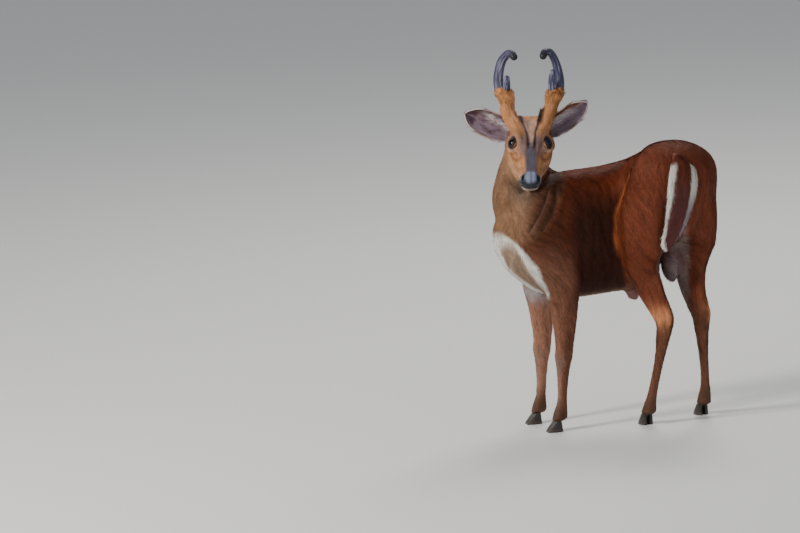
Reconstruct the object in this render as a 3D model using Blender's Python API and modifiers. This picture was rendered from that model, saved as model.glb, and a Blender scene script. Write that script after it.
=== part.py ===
"""A standing muntjac buck, still and life size, as closed solids that meet with a small gap.

The trunk, neck, head and legs are lofted from named stations, fused by a fine remesh, shaped by
displacement rules, thinned and then parted into nodes. Ears, eyes, pedicles, antlers, hooves and
tail are lofts of their own. Lengths are metres; +Z is up, the photograph looks along +Y and the
rump is at +X. The head looks back at the viewer, at -Y.
"""
import math

import bmesh
import bpy
import numpy as np

# Placing of the whole animal: the design point between the feet is moved so that the middle of
# the bounding box, on the floor, is the origin.
FRAME_SHIFT = (0.0123, -0.0108, 0.0)
# Gap between neighbouring nodes, and how far a cutting copy is grown to leave it.
GAP, CUT_GROWTH = 0.0003, 0.0004

# The spine seen from above: heading 0 faces -X, a positive heading turns away from the viewer.
HIP_PLACE = (0.145, 0.016)
RUMP_HEADING = math.radians(62)
CHEST_HEADING = math.radians(-14)
BEND_START, BEND_END = -0.035, 0.165
SHOULDER_STATION = 0.283

# Trunk: distance from the hips along the spine, top, bottom, half width, height of the widest.
TRUNK = (
    (-0.122, 0.575, 0.520, 0.020, 0.552),
    (-0.112, 0.594, 0.480, 0.048, 0.556),
    (-0.090, 0.614, 0.430, 0.080, 0.556),
    (-0.055, 0.627, 0.405, 0.101, 0.546),
    (-0.015, 0.631, 0.392, 0.102, 0.534),
    (0.025, 0.621, 0.362, 0.090, 0.505),
    (0.065, 0.601, 0.312, 0.086, 0.475),
    (0.105, 0.582, 0.292, 0.087, 0.450),
    (0.150, 0.573, 0.289, 0.089, 0.435),
    (0.195, 0.569, 0.286, 0.088, 0.425),
    (0.240, 0.568, 0.285, 0.079, 0.420),
    (0.278, 0.565, 0.289, 0.070, 0.422),
    (0.312, 0.552, 0.301, 0.064, 0.428),
    (0.347, 0.530, 0.325, 0.057, 0.430),
    (0.379, 0.500, 0.355, 0.047, 0.430),
    (0.398, 0.472, 0.386, 0.032, 0.430),
    (0.408, 0.450, 0.408, 0.013, 0.430),
)
TRUNK_SQUARENESS = 0.86

# Legs: forward and outward of the joint frame, height, half depth, half width.
FORE_LEG = (
    (0.012, 0.036, 0.520, 0.040, 0.022),
    (0.024, 0.048, 0.470, 0.058, 0.030),
    (0.028, 0.058, 0.425, 0.064, 0.033),
    (0.014, 0.065, 0.380, 0.060, 0.033),
    (-0.005, 0.067, 0.335, 0.049, 0.029),
    (-0.010, 0.064, 0.290, 0.036, 0.025),
    (-0.011, 0.061, 0.235, 0.0265, 0.0205),
    (-0.009, 0.058, 0.190, 0.0205, 0.018),
    (-0.006, 0.057, 0.165, 0.0205, 0.0185),
    (-0.004, 0.056, 0.140, 0.0155, 0.0155),
    (-0.001, 0.055, 0.093, 0.0120, 0.0112),
    (0.002, 0.0545, 0.060, 0.0125, 0.0118),
    (0.006, 0.054, 0.042, 0.0158, 0.0145),
    (0.012, 0.054, 0.028, 0.0140, 0.0145),
    (0.018, 0.054, 0.012, 0.0135, 0.0150),
)
HIND_LEG = (
    (-0.012, 0.046, 0.580, 0.060, 0.028),
    (-0.014, 0.058, 0.530, 0.088, 0.038),
    (-0.012, 0.066, 0.480, 0.094, 0.042),
    (-0.006, 0.069, 0.430, 0.087, 0.042),
    (0.002, 0.069, 0.385, 0.073, 0.038),
    (-0.003, 0.062, 0.335, 0.050, 0.031),
    (-0.022, 0.055, 0.295, 0.038, 0.025),
    (-0.042, 0.050, 0.262, 0.029, 0.020),
    (-0.056, 0.048, 0.238, 0.0265, 0.0175),
    (-0.050, 0.049, 0.205, 0.0185, 0.0145),
    (-0.035, 0.053, 0.150, 0.0125, 0.0108),
    (-0.018, 0.058, 0.095, 0.0115, 0.0105),
    (-0.007, 0.061, 0.060, 0.0130, 0.0120),
    (0.000, 0.062, 0.042, 0.0160, 0.0145),
    (0.009, 0.063, 0.028, 0.0140, 0.0145),
    (0.018, 0.063, 0.012, 0.0130, 0.0150),
)
# The sinew behind each hind leg that ends at the point of the hock.
HOCK_SINEW = (
    (-0.030, 0.056, 0.345, 0.020, 0.014),
    (-0.058, 0.053, 0.300, 0.014, 0.010),
    (-0.074, 0.050, 0.270, 0.011, 0.0095),
    (-0.079, 0.048, 0.250, 0.012, 0.0110),
    (-0.070, 0.048, 0.228, 0.011, 0.0110),
    (-0.056, 0.049, 0.205, 0.009, 0.0095),
)
ELBOW_KNOB = (-0.034, 0.063, 0.338, 0.020, 0.016, 0.022)
DEWCLAW = (-0.012, 0.008, 0.033, 0.0060, 0.0045, 0.0075)
# Step of each leg: forward and outward shift at the foot, outward positive.
FORE_STEP = {"left": (0.000, 0.004), "right": (0.017, 0.000)}
HIND_STEP = {"left": (0.000, 0.001), "right": (0.012, 0.021)}
HIND_NARROWER = {"left": 0.0, "right": 0.007}
FORE_STEP_HEIGHTS = (0.400, 0.300)
HIND_STEP_HEIGHTS = (0.300, 0.060)

# Neck: place, half depth, half width and heading of each station, from withers to head.
NECK = (
    (-0.104, 0.058, 0.455, 0.092, 0.054, -14.0),
    (-0.138, 0.053, 0.490, 0.098, 0.057, -18.0),
    (-0.159, 0.047, 0.530, 0.091, 0.056, -34.0),
    (-0.163, 0.038, 0.570, 0.074, 0.053, -56.0),
    (-0.156, 0.028, 0.610, 0.061, 0.047, -78.0),
    (-0.147, 0.012, 0.645, 0.050, 0.045, -90.0),
    (-0.146, 0.002, 0.668, 0.042, 0.040, -90.0),
)
NECK_TOP_ROWS = 4
NECK_BASE_PLANE = ((-0.155, 0.050, 0.5225), (-0.549, 0.0, 0.836))
NECK_HEAD_PLANE = ((-0.148, 0.020, 0.593), (0.0, -0.62, 0.785))
LEG_CUT_HEIGHT = 0.270

# Head frame: the point between the eyes on the face line, and how the head is turned.
HEAD_PLACE = (-0.1455, -0.075, 0.657)
HEAD_ROLL = math.radians(3)
HEAD_LIFT = math.radians(10)
FACE_SLOPE = math.radians(34)
# Head: along the face line towards the nose, top, bottom, half width, height of the widest.
HEAD = (
    (-0.094, -0.048, -0.064, 0.010, -0.054),
    (-0.087, -0.033, -0.084, 0.030, -0.054),
    (-0.070, -0.020, -0.098, 0.042, -0.052),
    (-0.046, -0.007, -0.105, 0.0480, -0.049),
    (-0.020, 0.001, -0.106, 0.0505, -0.046),
    (0.004, 0.000, -0.100, 0.0490, -0.050),
    (0.024, -0.003, -0.089, 0.0435, -0.055),
    (0.044, -0.005, -0.076, 0.0355, -0.050),
    (0.062, -0.007, -0.065, 0.0285, -0.043),
    (0.078, -0.008, -0.057, 0.0248, -0.037),
    (0.090, -0.009, -0.052, 0.0244, -0.030),
    (0.099, -0.013, -0.047, 0.0212, -0.029),
    (0.1035, -0.022, -0.037, 0.0110, -0.029),
)
# Grooves (negative) and ridges of the face: places along, sideways and above, radius, height.
FACE_MARKS = (
    (((0.099, 0.0095, -0.021), (0.096, 0.0155, -0.028)), 0.0046, -0.0060),
    (((0.103, 0.000, -0.037), (0.099, 0.014, -0.041), (0.080, 0.0235, -0.042), (0.058, 0.0300, -0.048)),
     0.0030, -0.0048),
    (((0.103, 0.000, -0.045), (0.095, 0.015, -0.048), (0.078, 0.0225, -0.050)), 0.0034, 0.0020),
    (((0.014, 0.0360, -0.022), (0.024, 0.0300, -0.018), (0.034, 0.0255, -0.017)), 0.0040, -0.0055),
    (((-0.046, 0.0240, 0.000), (-0.020, 0.0150, 0.003), (0.012, 0.0060, 0.000)), 0.0050, 0.0028),
)
FACE_PUSH_LIMIT = 0.006
EYE_PLACE = (0.000, 0.0338, -0.0140)
EYE_RADIUS = 0.0132
BROW = (-0.004, 0.0370, -0.0250, 0.022, 0.0160, 0.0200)
# The lids: a raised rim round the eye, given by the way the eye looks, rim radius and places.
EYE_WAY = (0.04, 0.62, 0.78)
LID_RING, LID_FORWARD, LID_WIDTH, LID_HEIGHT = 0.0128, 0.0050, 0.0026, 0.0018
# Pedicles and antlers in the head's level frame: sideways, up, front, radius.
PEDICLE_ROOT = (
    (0.015, -0.012, 0.003, 0.0060),
    (0.020, 0.002, -0.003, 0.0095),
    (0.026, 0.018, -0.012, 0.0145),
    (0.030, 0.034, -0.022, 0.0155),
)
PEDICLE = (
    (0.028, 0.026, -0.016, 0.0165),
    (0.0365, 0.048, -0.030, 0.0160),
    (0.0460, 0.074, -0.0455, 0.0162),
    (0.0525, 0.090, -0.0560, 0.0180),
    (0.0550, 0.099, -0.0620, 0.0210),
)
ANTLER = {
    "right": (
        (0.0635, 0.099, -0.067, 0.0118),
        (0.0665, 0.115, -0.071, 0.0118),
        (0.0685, 0.132, -0.074, 0.0114),
        (0.0665, 0.154, -0.074, 0.0108),
        (0.0600, 0.176, -0.068, 0.0100),
        (0.0490, 0.189, -0.060, 0.0093),
        (0.0400, 0.190, -0.049, 0.0086),
        (0.0345, 0.183, -0.042, 0.0080),
    ),
    "left": (
        (0.0625, 0.099, -0.067, 0.0115),
        (0.0650, 0.117, -0.071, 0.0110),
        (0.0655, 0.134, -0.075, 0.0102),
        (0.0610, 0.158, -0.076, 0.0100),
        (0.0530, 0.181, -0.070, 0.0090),
        (0.0430, 0.194, -0.060, 0.0088),
        (0.0330, 0.193, -0.049, 0.0086),
        (0.0290, 0.185, -0.042, 0.0080),
    ),
}
BROW_TINE = {
    "right": (
        (0.0520, 0.098, -0.057, 0.0090),
        (0.0510, 0.110, -0.054, 0.0088),
        (0.0505, 0.125, -0.047, 0.0083),
        (0.0500, 0.137, -0.043, 0.0060),
    ),
    "left": (
        (0.0510, 0.098, -0.057, 0.0094),
        (0.0495, 0.112, -0.054, 0.0094),
        (0.0490, 0.132, -0.047, 0.0090),
        (0.0500, 0.150, -0.043, 0.0062),
    ),
}
# Ears in the level frame: root, direction to the tip, length, half width, turn of the opening.
EARS = {
    "right": ((0.048, 0.018, -0.052), (0.915, 0.400, 0.04), 0.104, 0.0310, math.radians(12)),
    "left": ((0.046, 0.022, -0.052), (0.790, 0.615, 0.02), 0.102, 0.0300, math.radians(36)),
}
EAR_WALL = 0.0032

TAIL = (
    (0.181, -0.076, 0.610, 0.030, 0.012),
    (0.186, -0.099, 0.596, 0.040, 0.012),
    (0.182, -0.112, 0.560, 0.0405, 0.011),
    (0.173, -0.116, 0.515, 0.034, 0.010),
    (0.158, -0.112, 0.466, 0.0245, 0.008),
    (0.141, -0.105, 0.428, 0.0135, 0.006),
    (0.136, -0.102, 0.413, 0.004, 0.003),
)
# Soft parts below the trunk: distance along the spine, height and the three half sizes.
SCROTUM = (-0.010, 0.354, 0.028, 0.0225, 0.042)
SHEATH = (0.097, 0.284, 0.019, 0.012, 0.016)

HOOF_LENGTH, HOOF_WIDTH, HOOF_HEIGHT = 0.036, 0.0135, 0.024
HOOF_TOP, CLEFT = 0.0245, 0.0016
BODY_VOXEL, HEAD_VOXEL = 0.0042, 0.0022
BODY_FACES, HEAD_FACES = 5900, 3400
BODY_ROUNDS, HEAD_ROUNDS = 9, 3
# Locks of long hair: how many, length, half width, half thickness, share of outward lean.
TAIL_LOCKS, TAIL_LOCK = 9, (0.034, 0.0060, 0.0026, 0.30)
BRUSH_LOCKS, BRUSH_LOCK, BRUSH_DROP = 11, (0.022, 0.0042, 0.0024, 0.85), 0.006
LOCK_VOXEL, TAIL_FACES, PEDICLE_FACES = 0.0015, 1000, 700

COLOURS = {
    "coat": (0.20, 0.055, 0.02),
    "face": (0.42, 0.20, 0.08),
    "antler": (0.07, 0.06, 0.08),
    "hoof": (0.03, 0.025, 0.02),
    "eye": (0.01, 0.008, 0.008),
    "white": (0.75, 0.72, 0.68),
}


def clear_scene():
    """Start from an empty scene."""
    for item in list(bpy.data.objects):
        bpy.data.objects.remove(item, do_unlink=True)


def heading_axes(heading):
    """Forward and outward-right directions for a heading in the plan view."""
    forward = np.array((-math.cos(heading), math.sin(heading), 0.0))
    right = np.array((math.sin(heading), math.cos(heading), 0.0))
    return forward, right


def spine_heading(station):
    """The heading turns smoothly from rump to chest."""
    share = np.clip((station - BEND_START) / (BEND_END - BEND_START), 0.0, 1.0)
    share = share * share * (3.0 - 2.0 * share)
    return RUMP_HEADING + (CHEST_HEADING - RUMP_HEADING) * share


def spine_place(station):
    """Walk from the hips along the turning heading to a station."""
    steps = 48
    middles = (np.arange(steps) + 0.5) / steps * station
    headings = spine_heading(middles)
    x = HIP_PLACE[0] - float(np.cos(headings).mean()) * station
    y = HIP_PLACE[1] + float(np.sin(headings).mean()) * station
    return np.array((x, y, 0.0))


def through(rows, per_span):
    """Smooth rows through the given rows, with per_span steps in each span (Catmull-Rom)."""
    rows = np.array(rows, float)
    ends = np.vstack((2 * rows[0] - rows[1], rows, 2 * rows[-1] - rows[-2]))
    out = []
    for index in range(len(rows) - 1):
        before, start, stop, after = ends[index:index + 4]
        for step in range(per_span):
            t = step / per_span
            out.append(0.5 * (2 * start + (stop - before) * t
                              + (2 * before - 5 * start + 4 * stop - after) * t ** 2
                              + (3 * start - before - 3 * stop + after) * t ** 3))
    out.append(rows[-1])
    return np.array(out)


def grid_faces(rings, points):
    """Quads between closed rings, and a fan over each end."""
    faces = []
    for ring in range(rings - 1):
        for point in range(points):
            after = (point + 1) % points
            faces.append((ring * points + point, ring * points + after,
                          (ring + 1) * points + after, (ring + 1) * points + point))
    first, last = rings * points, rings * points + 1
    for point in range(points):
        after = (point + 1) % points
        faces.append((first, after, point))
        faces.append((last, (rings - 1) * points + point, (rings - 1) * points + after))
    return faces


def closed_loft(name, rings):
    """A closed solid through rings of points, with a middle point over each end."""
    rings = np.array(rings)
    count, points, _ = rings.shape
    flat = np.vstack((rings.reshape(-1, 3), rings[0].mean(axis=0), rings[-1].mean(axis=0)))
    return solid(name, flat, grid_faces(count, points))


def solid(name, points, faces):
    """A mesh object from points and faces, with its faces turned outwards."""
    mesh = bpy.data.meshes.new(name)
    mesh.from_pydata([tuple(point) for point in points], [], faces)
    shape = bmesh.new()
    shape.from_mesh(mesh)
    bmesh.ops.recalc_face_normals(shape, faces=shape.faces)
    shape.to_mesh(mesh)
    shape.free()
    made = bpy.data.objects.new(name, mesh)
    bpy.context.scene.collection.objects.link(made)
    return made


def trunk_ring(row, points):
    """One section of the trunk, an oval that is fuller than an ellipse, set across the spine."""
    station, top, bottom, half_width, widest = row
    _, right = heading_axes(float(spine_heading(station)))
    place = spine_place(station)
    turn = np.linspace(0, 2 * math.pi, points, endpoint=False)
    side = np.sign(np.sin(turn)) * np.abs(np.sin(turn)) ** TRUNK_SQUARENESS * half_width
    lift = np.sign(np.cos(turn)) * np.abs(np.cos(turn)) ** TRUNK_SQUARENESS
    height = widest + np.where(lift > 0, lift * (top - widest), lift * (widest - bottom))
    ring = place + side[:, None] * right
    ring[:, 2] = height
    return ring


def tube(name, places, depths, widths, fronts, points):
    """Carry an oval along a path; depth lies along the front direction, width across it."""
    places = np.array(places)
    tangents = np.gradient(places, axis=0)
    tangents /= np.linalg.norm(tangents, axis=1)[:, None]
    turn = np.linspace(0, 2 * math.pi, points, endpoint=False)
    rings = []
    for place, depth, width, front, tangent in zip(places, depths, widths, fronts, tangents):
        fore = front - tangent * float(front @ tangent)
        fore /= np.linalg.norm(fore)
        side = np.cross(tangent, fore)
        rings.append(place + np.outer(np.cos(turn) * depth, fore)
                     + np.outer(np.sin(turn) * width, side))
    return closed_loft(name, rings)


def leg_frame(station, heading):
    """Origin and axes in which a leg's stations are given."""
    forward, right = heading_axes(heading)
    return spine_place(station), forward, right


def leg_rows(stations, frame, side, step, heights):
    """Places, depths and widths of a leg, with its step added towards the foot."""
    origin, forward, right = frame
    sign = 1.0 if side == "right" else -1.0
    rows = through(stations, 4)
    share = np.clip((heights[0] - rows[:, 2]) / (heights[0] - heights[1]), 0.0, 1.0)
    fore = rows[:, 0] + step[0] * share
    out = (rows[:, 1] + step[1] * share) * sign
    places = origin + fore[:, None] * forward + out[:, None] * right
    places[:, 2] = rows[:, 2]
    return places, rows[:, 3], rows[:, 4]


def leg_point(row, frame, side, step, height_share=1.0):
    """One place in a leg's frame, moved by the leg's step."""
    origin, forward, right = frame
    sign = 1.0 if side == "right" else -1.0
    fore, out = row[0] + step[0] * height_share, row[1] + step[1] * height_share
    place = origin + fore * forward + out * sign * right
    place[2] = row[2]
    return place


def ball(name, centre, axes, radii, points=16):
    """An ellipsoid as a closed loft; axes are three unit directions."""
    turn = np.linspace(0, 2 * math.pi, points, endpoint=False)
    rings = []
    for slope in np.linspace(-math.pi / 2, math.pi / 2, points // 2 + 1)[1:-1]:
        reach = math.cos(slope)
        rings.append(np.array(centre) + np.outer(np.cos(turn) * reach * radii[0], axes[0])
                     + np.outer(np.sin(turn) * reach * radii[1], axes[1])
                     + math.sin(slope) * radii[2] * np.array(axes[2]))
    made = closed_loft(name, rings)
    reach = radii[2] * np.array(axes[2])
    for vertex, tip in zip(made.data.vertices[-2:], (centre - reach, centre + reach)):
        vertex.co = tuple(tip)
    return made


def head_axes():
    """The head's level frame (side, up, front) and the face line (nose, crown)."""
    roll, lift = HEAD_ROLL, HEAD_LIFT
    level_up = np.array((0.0, math.sin(lift), math.cos(lift)))
    front = np.array((0.0, -math.cos(lift), math.sin(lift)))
    across = np.array((1.0, 0.0, 0.0))
    side = math.cos(roll) * across - math.sin(roll) * level_up
    up = math.sin(roll) * across + math.cos(roll) * level_up
    nose = math.sin(FACE_SLOPE) * front - math.cos(FACE_SLOPE) * up
    crown = math.cos(FACE_SLOPE) * front + math.sin(FACE_SLOPE) * up
    return side, up, front, nose, crown


SIDE, UP, FRONT, NOSE, CROWN = head_axes()
HEAD_ORIGIN = np.array(HEAD_PLACE)


def face_place(along, out, height):
    """A place given along the face line, sideways (left of the animal positive) and above it."""
    return HEAD_ORIGIN + along * NOSE + out * SIDE + height * CROWN


def level_place(side, up, front):
    """A place given in the head's level frame."""
    return HEAD_ORIGIN + side * SIDE + up * UP + front * FRONT


def evaluated(item):
    """Replace an object's mesh by what its modifiers make of it."""
    bpy.context.view_layer.update()
    graph = bpy.context.evaluated_depsgraph_get()
    fresh = bpy.data.meshes.new_from_object(item.evaluated_get(graph))
    item.modifiers.clear()
    item.data = fresh
    return item


def joined(name, items):
    """One object that holds the meshes of all items, which may cross each other."""
    points, faces, start = [], [], 0
    for item in items:
        points += [tuple(vertex.co) for vertex in item.data.vertices]
        faces += [tuple(index + start for index in face.vertices) for face in item.data.polygons]
        start = len(points)
        bpy.data.objects.remove(item, do_unlink=True)
    return solid(name, points, faces)


def fused(item, voxel, rounds):
    """Fuse crossing shells into one skin by a voxel remesh, then even it out."""
    remesh = item.modifiers.new("fuse", "REMESH")
    remesh.mode = "VOXEL"
    remesh.voxel_size = voxel
    remesh.use_smooth_shade = True
    smooth = item.modifiers.new("even", "SMOOTH")
    smooth.factor = 0.5
    smooth.iterations = rounds
    return evaluated(item)


def thinned(item, faces):
    """Reduce an object to about this many triangles."""
    triangles = sum(len(face.vertices) - 2 for face in item.data.polygons)
    reduce = item.modifiers.new("thin", "DECIMATE")
    reduce.ratio = min(1.0, faces / triangles)
    reduce.use_collapse_triangulate = True
    return evaluated(item)


def largest_shell(item):
    """Keep the largest connected surface."""
    shape = bmesh.new()
    shape.from_mesh(item.data)
    shape.verts.ensure_lookup_table()
    seen, groups = set(), []
    for start in shape.verts:
        if start.index in seen:
            continue
        group, open_ends = [], [start]
        seen.add(start.index)
        while open_ends:
            vertex = open_ends.pop()
            group.append(vertex)
            for edge in vertex.link_edges:
                other = edge.other_vert(vertex)
                if other.index not in seen:
                    seen.add(other.index)
                    open_ends.append(other)
        groups.append(group)
    groups.sort(key=len, reverse=True)
    for group in groups[1:]:
        bmesh.ops.delete(shape, geom=group, context="VERTS")
    shape.to_mesh(item.data)
    shape.free()
    return item


def combine(item, other, operation):
    """Apply one Boolean to item and remove the other object."""
    change = item.modifiers.new("join", "BOOLEAN")
    change.operation = operation
    change.solver = "EXACT"
    change.object = other
    evaluated(item)
    bpy.data.objects.remove(other, do_unlink=True)
    return largest_shell(item)


def lid_line():
    """Places round the eye on which the lids are raised, as along, out and above."""
    way = np.array(EYE_WAY) / np.linalg.norm(EYE_WAY)
    first = np.array((1.0, 0.0, 0.0)) - way * way[0]
    first /= np.linalg.norm(first)
    second = np.cross(way, first)
    turn = np.linspace(0, 2 * math.pi, 13)[:, None]
    ring = first * np.cos(turn) + second * np.sin(turn)
    return np.array(EYE_PLACE) + way * LID_FORWARD + ring * LID_RING


def shaped_face(item):
    """Press the grooves and raise the ridges of the face, on both sides."""
    count = len(item.data.vertices)
    points, normals = np.empty(count * 3), np.empty(count * 3)
    item.data.vertices.foreach_get("co", points)
    item.data.vertices.foreach_get("normal", normals)
    points, normals = points.reshape(-1, 3), normals.reshape(-1, 3)
    push = np.zeros(count)
    for line, radius, height in FACE_MARKS + ((lid_line(), LID_WIDTH, LID_HEIGHT),):
        for sign in (-1.0, 1.0):
            places = [face_place(along, sign * out, above) for along, out, above in line]
            near = np.full(count, 1.0)
            for start, stop in zip(places[:-1], places[1:]):
                way = stop - start
                share = np.clip((points - start) @ way / (way @ way), 0.0, 1.0)
                near = np.minimum(near, np.linalg.norm(points - start - share[:, None] * way, axis=1))
            push += height * np.exp(-(near / radius) ** 2)
    points += normals * np.clip(push, -FACE_PUSH_LIMIT, FACE_PUSH_LIMIT)[:, None]
    item.data.vertices.foreach_set("co", points.ravel())
    item.data.update()
    return item


def copy_of(item, name):
    """A second object with its own copy of the mesh."""
    made = bpy.data.objects.new(name, item.data.copy())
    bpy.context.scene.collection.objects.link(made)
    return made


def half(item, place, normal):
    """Keep the part of a solid on the side of a plane to which the normal points."""
    shape = bmesh.new()
    shape.from_mesh(item.data)
    geometry = shape.verts[:] + shape.edges[:] + shape.faces[:]
    cut = bmesh.ops.bisect_plane(shape, geom=geometry, dist=1e-7, plane_co=tuple(place),
                                 plane_no=tuple(normal), clear_inner=True, clear_outer=False)
    rim = [edge for edge in cut["geom_cut"] if isinstance(edge, bmesh.types.BMEdge)]
    bmesh.ops.triangle_fill(shape, use_beauty=True, use_dissolve=False, edges=rim)
    bmesh.ops.recalc_face_normals(shape, faces=shape.faces)
    shape.to_mesh(item.data)
    shape.free()
    return item


def halves(item, names, place, normal):
    """Split a solid at a plane with the gap between the two parts."""
    normal = np.array(normal, float)
    normal /= np.linalg.norm(normal)
    place = np.array(place, float)
    other = copy_of(item, names[1])
    item.name = names[0]
    half(item, place + normal * GAP / 2, normal)
    half(other, place - normal * GAP / 2, -normal)
    return largest_shell(item), largest_shell(other)


def trimmed(item, other):
    """Cut away what lies inside another solid, and the gap around it."""
    grown = copy_of(other, "grown")
    swell = grown.modifiers.new("swell", "DISPLACE")
    swell.strength = CUT_GROWTH
    swell.mid_level = 0.0
    evaluated(grown)
    return combine(item, grown, "DIFFERENCE")


def halves_all(item, names, place, normal):
    """Split a solid at a plane and keep every shell of both parts."""
    normal = np.array(normal, float)
    place = np.array(place, float)
    other = copy_of(item, names[1])
    item.name = names[0]
    half(item, place + normal * GAP / 2, normal)
    half(other, place - normal * GAP / 2, -normal)
    return item, other


def body_forms():
    """Lofts of trunk, neck and legs that cross each other."""
    forms = [closed_loft("trunk", [trunk_ring(row, 40) for row in through(TRUNK, 3)])]
    for station, height, *radii in (SCROTUM, SHEATH):
        forward, right = heading_axes(float(spine_heading(station)))
        centre = spine_place(station) + np.array((0.0, 0.0, height))
        forms.append(ball("soft_part", centre, (forward, right, (0.0, 0.0, 1.0)), radii))
    rows = through(NECK, 5)
    fronts = [heading_axes(math.radians(row[5]))[0] for row in rows]
    forms.append(tube("neck_form", rows[:, :3], rows[:, 3], rows[:, 4], fronts, 32))
    fore = leg_frame(SHOULDER_STATION, CHEST_HEADING)
    hind = leg_frame(0.0, RUMP_HEADING)
    for side in ("left", "right"):
        for frame, stations, step, heights in ((fore, FORE_LEG, FORE_STEP[side], FORE_STEP_HEIGHTS),
                                               (hind, HIND_LEG, HIND_STEP[side], HIND_STEP_HEIGHTS),
                                               (hind, HOCK_SINEW, HIND_STEP[side], HIND_STEP_HEIGHTS)):
            places, depths, widths = leg_rows(stations, frame, side, step, heights)
            if frame is hind:
                outward = frame[2] if side == "right" else -frame[2]
                places = places - HIND_NARROWER[side] * outward * np.clip(
                    (places[:, 2:] - 0.10) / 0.12, 0.0, 1.0)
            forms.append(tube("leg_form", places, depths, widths, [frame[1]] * len(places), 20))
        up = (0.0, 0.0, 1.0)
        forms.append(ball("elbow", leg_point(ELBOW_KNOB, fore, side, FORE_STEP[side], 0.6),
                          (fore[1], fore[2], up), ELBOW_KNOB[3:]))
        for frame, stations, step in ((fore, FORE_LEG, FORE_STEP[side]),
                                      (hind, HIND_LEG, HIND_STEP[side])):
            ankle = stations[-3]
            for across in (-1.0, 1.0):
                row = (ankle[0] + DEWCLAW[0], ankle[1] + across * DEWCLAW[1], DEWCLAW[2])
                centre = leg_point(row, frame, side, step)
                forms.append(ball("dewclaw", centre, (frame[1], frame[2], up), DEWCLAW[3:]))
    return forms


def head_ring(row, points):
    """One section of the head, an oval with a flatter forehead."""
    along, top, bottom, half_width, widest = row
    turn = np.linspace(0, 2 * math.pi, points, endpoint=False)
    side = np.sign(np.sin(turn)) * np.abs(np.sin(turn)) ** 0.85 * half_width
    lift = np.sign(np.cos(turn)) * np.abs(np.cos(turn)) ** 0.9
    height = widest + np.where(lift > 0, lift * (top - widest), lift * (widest - bottom))
    return face_place(along, 0, 0) + np.outer(side, SIDE) + np.outer(height, CROWN)


def head_forms():
    """Loft of the head, with the brows as balls beside it."""
    forms = [closed_loft("head_form", [head_ring(row, 32) for row in through(HEAD, 4)])]
    rows = through(NECK[-NECK_TOP_ROWS - 1:], 5)
    fronts = [heading_axes(math.radians(row[5]))[0] for row in rows]
    forms.append(tube("nape_form", rows[:, :3], rows[:, 3], rows[:, 4], fronts, 32))
    for sign in (-1.0, 1.0):
        centre = face_place(BROW[0], sign * BROW[1], BROW[2])
        forms.append(ball("brow", centre, (NOSE, SIDE, CROWN), BROW[3:]))
        forms.append(antler_tube("pedicle_root", PEDICLE_ROOT, sign, 14, 4))
    return forms


def antler_tube(name, rows, sign, points, spans):
    """A round tube in the level frame with a domed tip."""
    rows = through(rows, spans)
    tip = rows[-1].copy()
    way = rows[-1, :3] - rows[-2, :3]
    way /= np.linalg.norm(way)
    domed = []
    for share, size in ((0.5, 0.85), (0.85, 0.5)):
        ring = tip.copy()
        ring[:3] += way * tip[3] * share
        ring[3] = tip[3] * size
        domed.append(ring)
    rows = np.vstack((rows, domed))
    places = [level_place(sign * row[0], row[1], row[2]) for row in rows]
    return tube(name, places, rows[:, 3], rows[:, 3], [FRONT] * len(rows), points)


def lock(name, root, way, flat, sizes):
    """One flat tapered lock from root along way, curving back towards the lie of the coat."""
    length, half_width, half_thick, _ = sizes
    way = way / np.linalg.norm(way)
    across = np.cross(flat, way)
    across /= np.linalg.norm(across)
    level = np.cross(way, across)
    rings = []
    for share, size in ((-0.25, 0.7), (0.1, 1.0), (0.45, 0.95), (0.8, 0.55), (1.0, 0.15)):
        middle = root + way * length * share - level * 0.10 * length * max(0.0, share) ** 2
        rings.append([middle + across * half_width * size, middle + level * half_thick * size,
                      middle - across * half_width * size, middle - level * half_thick * size])
    return closed_loft(name, rings)


def brushed_pedicle(name, sign):
    """A pedicle with the ring of long hair that stands round the antler's foot."""
    rows = through(PEDICLE, 3)
    items = [antler_tube(name, PEDICLE, sign, 16, 3)]
    top, below = rows[-2], rows[-5]
    head_end = level_place(sign * top[0], top[1], top[2])
    rise = head_end - level_place(sign * below[0], below[1], below[2])
    rise /= np.linalg.norm(rise)
    first = np.cross(rise, SIDE)
    first /= np.linalg.norm(first)
    second = np.cross(rise, first)
    centre = head_end - rise * BRUSH_DROP
    for number in range(BRUSH_LOCKS):
        turn = 2 * math.pi * number / BRUSH_LOCKS
        out = first * math.cos(turn) + second * math.sin(turn)
        root = centre + out * (top[3] - 0.005)
        items.append(lock("lock", root, rise + out * BRUSH_LOCK[3], out, BRUSH_LOCK))
    return thinned(fused(joined(name, items), LOCK_VOXEL, 1), PEDICLE_FACES)


def fringed_tail(name):
    """The hanging tail with long hair along both edges."""
    rows = through(TAIL, 3)
    _, right = heading_axes(RUMP_HEADING)
    items = [tube(name, rows[:, :3], rows[:, 3], rows[:, 4], [right] * len(rows), 16)]
    for sign in (-1.0, 1.0):
        for number in range(TAIL_LOCKS):
            place = 2 + int(round(number * (len(rows) - 5) / (TAIL_LOCKS - 1)))
            row = rows[place]
            fall = rows[place + 1, :3] - row[:3]
            fall /= np.linalg.norm(fall)
            out = right * sign
            root = row[:3] + out * row[3] * 0.72
            items.append(lock("lock", root, fall + out * TAIL_LOCK[3], np.cross(out, fall), TAIL_LOCK))
    return thinned(fused(joined(name, items), LOCK_VOXEL, 1), TAIL_FACES)


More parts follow.
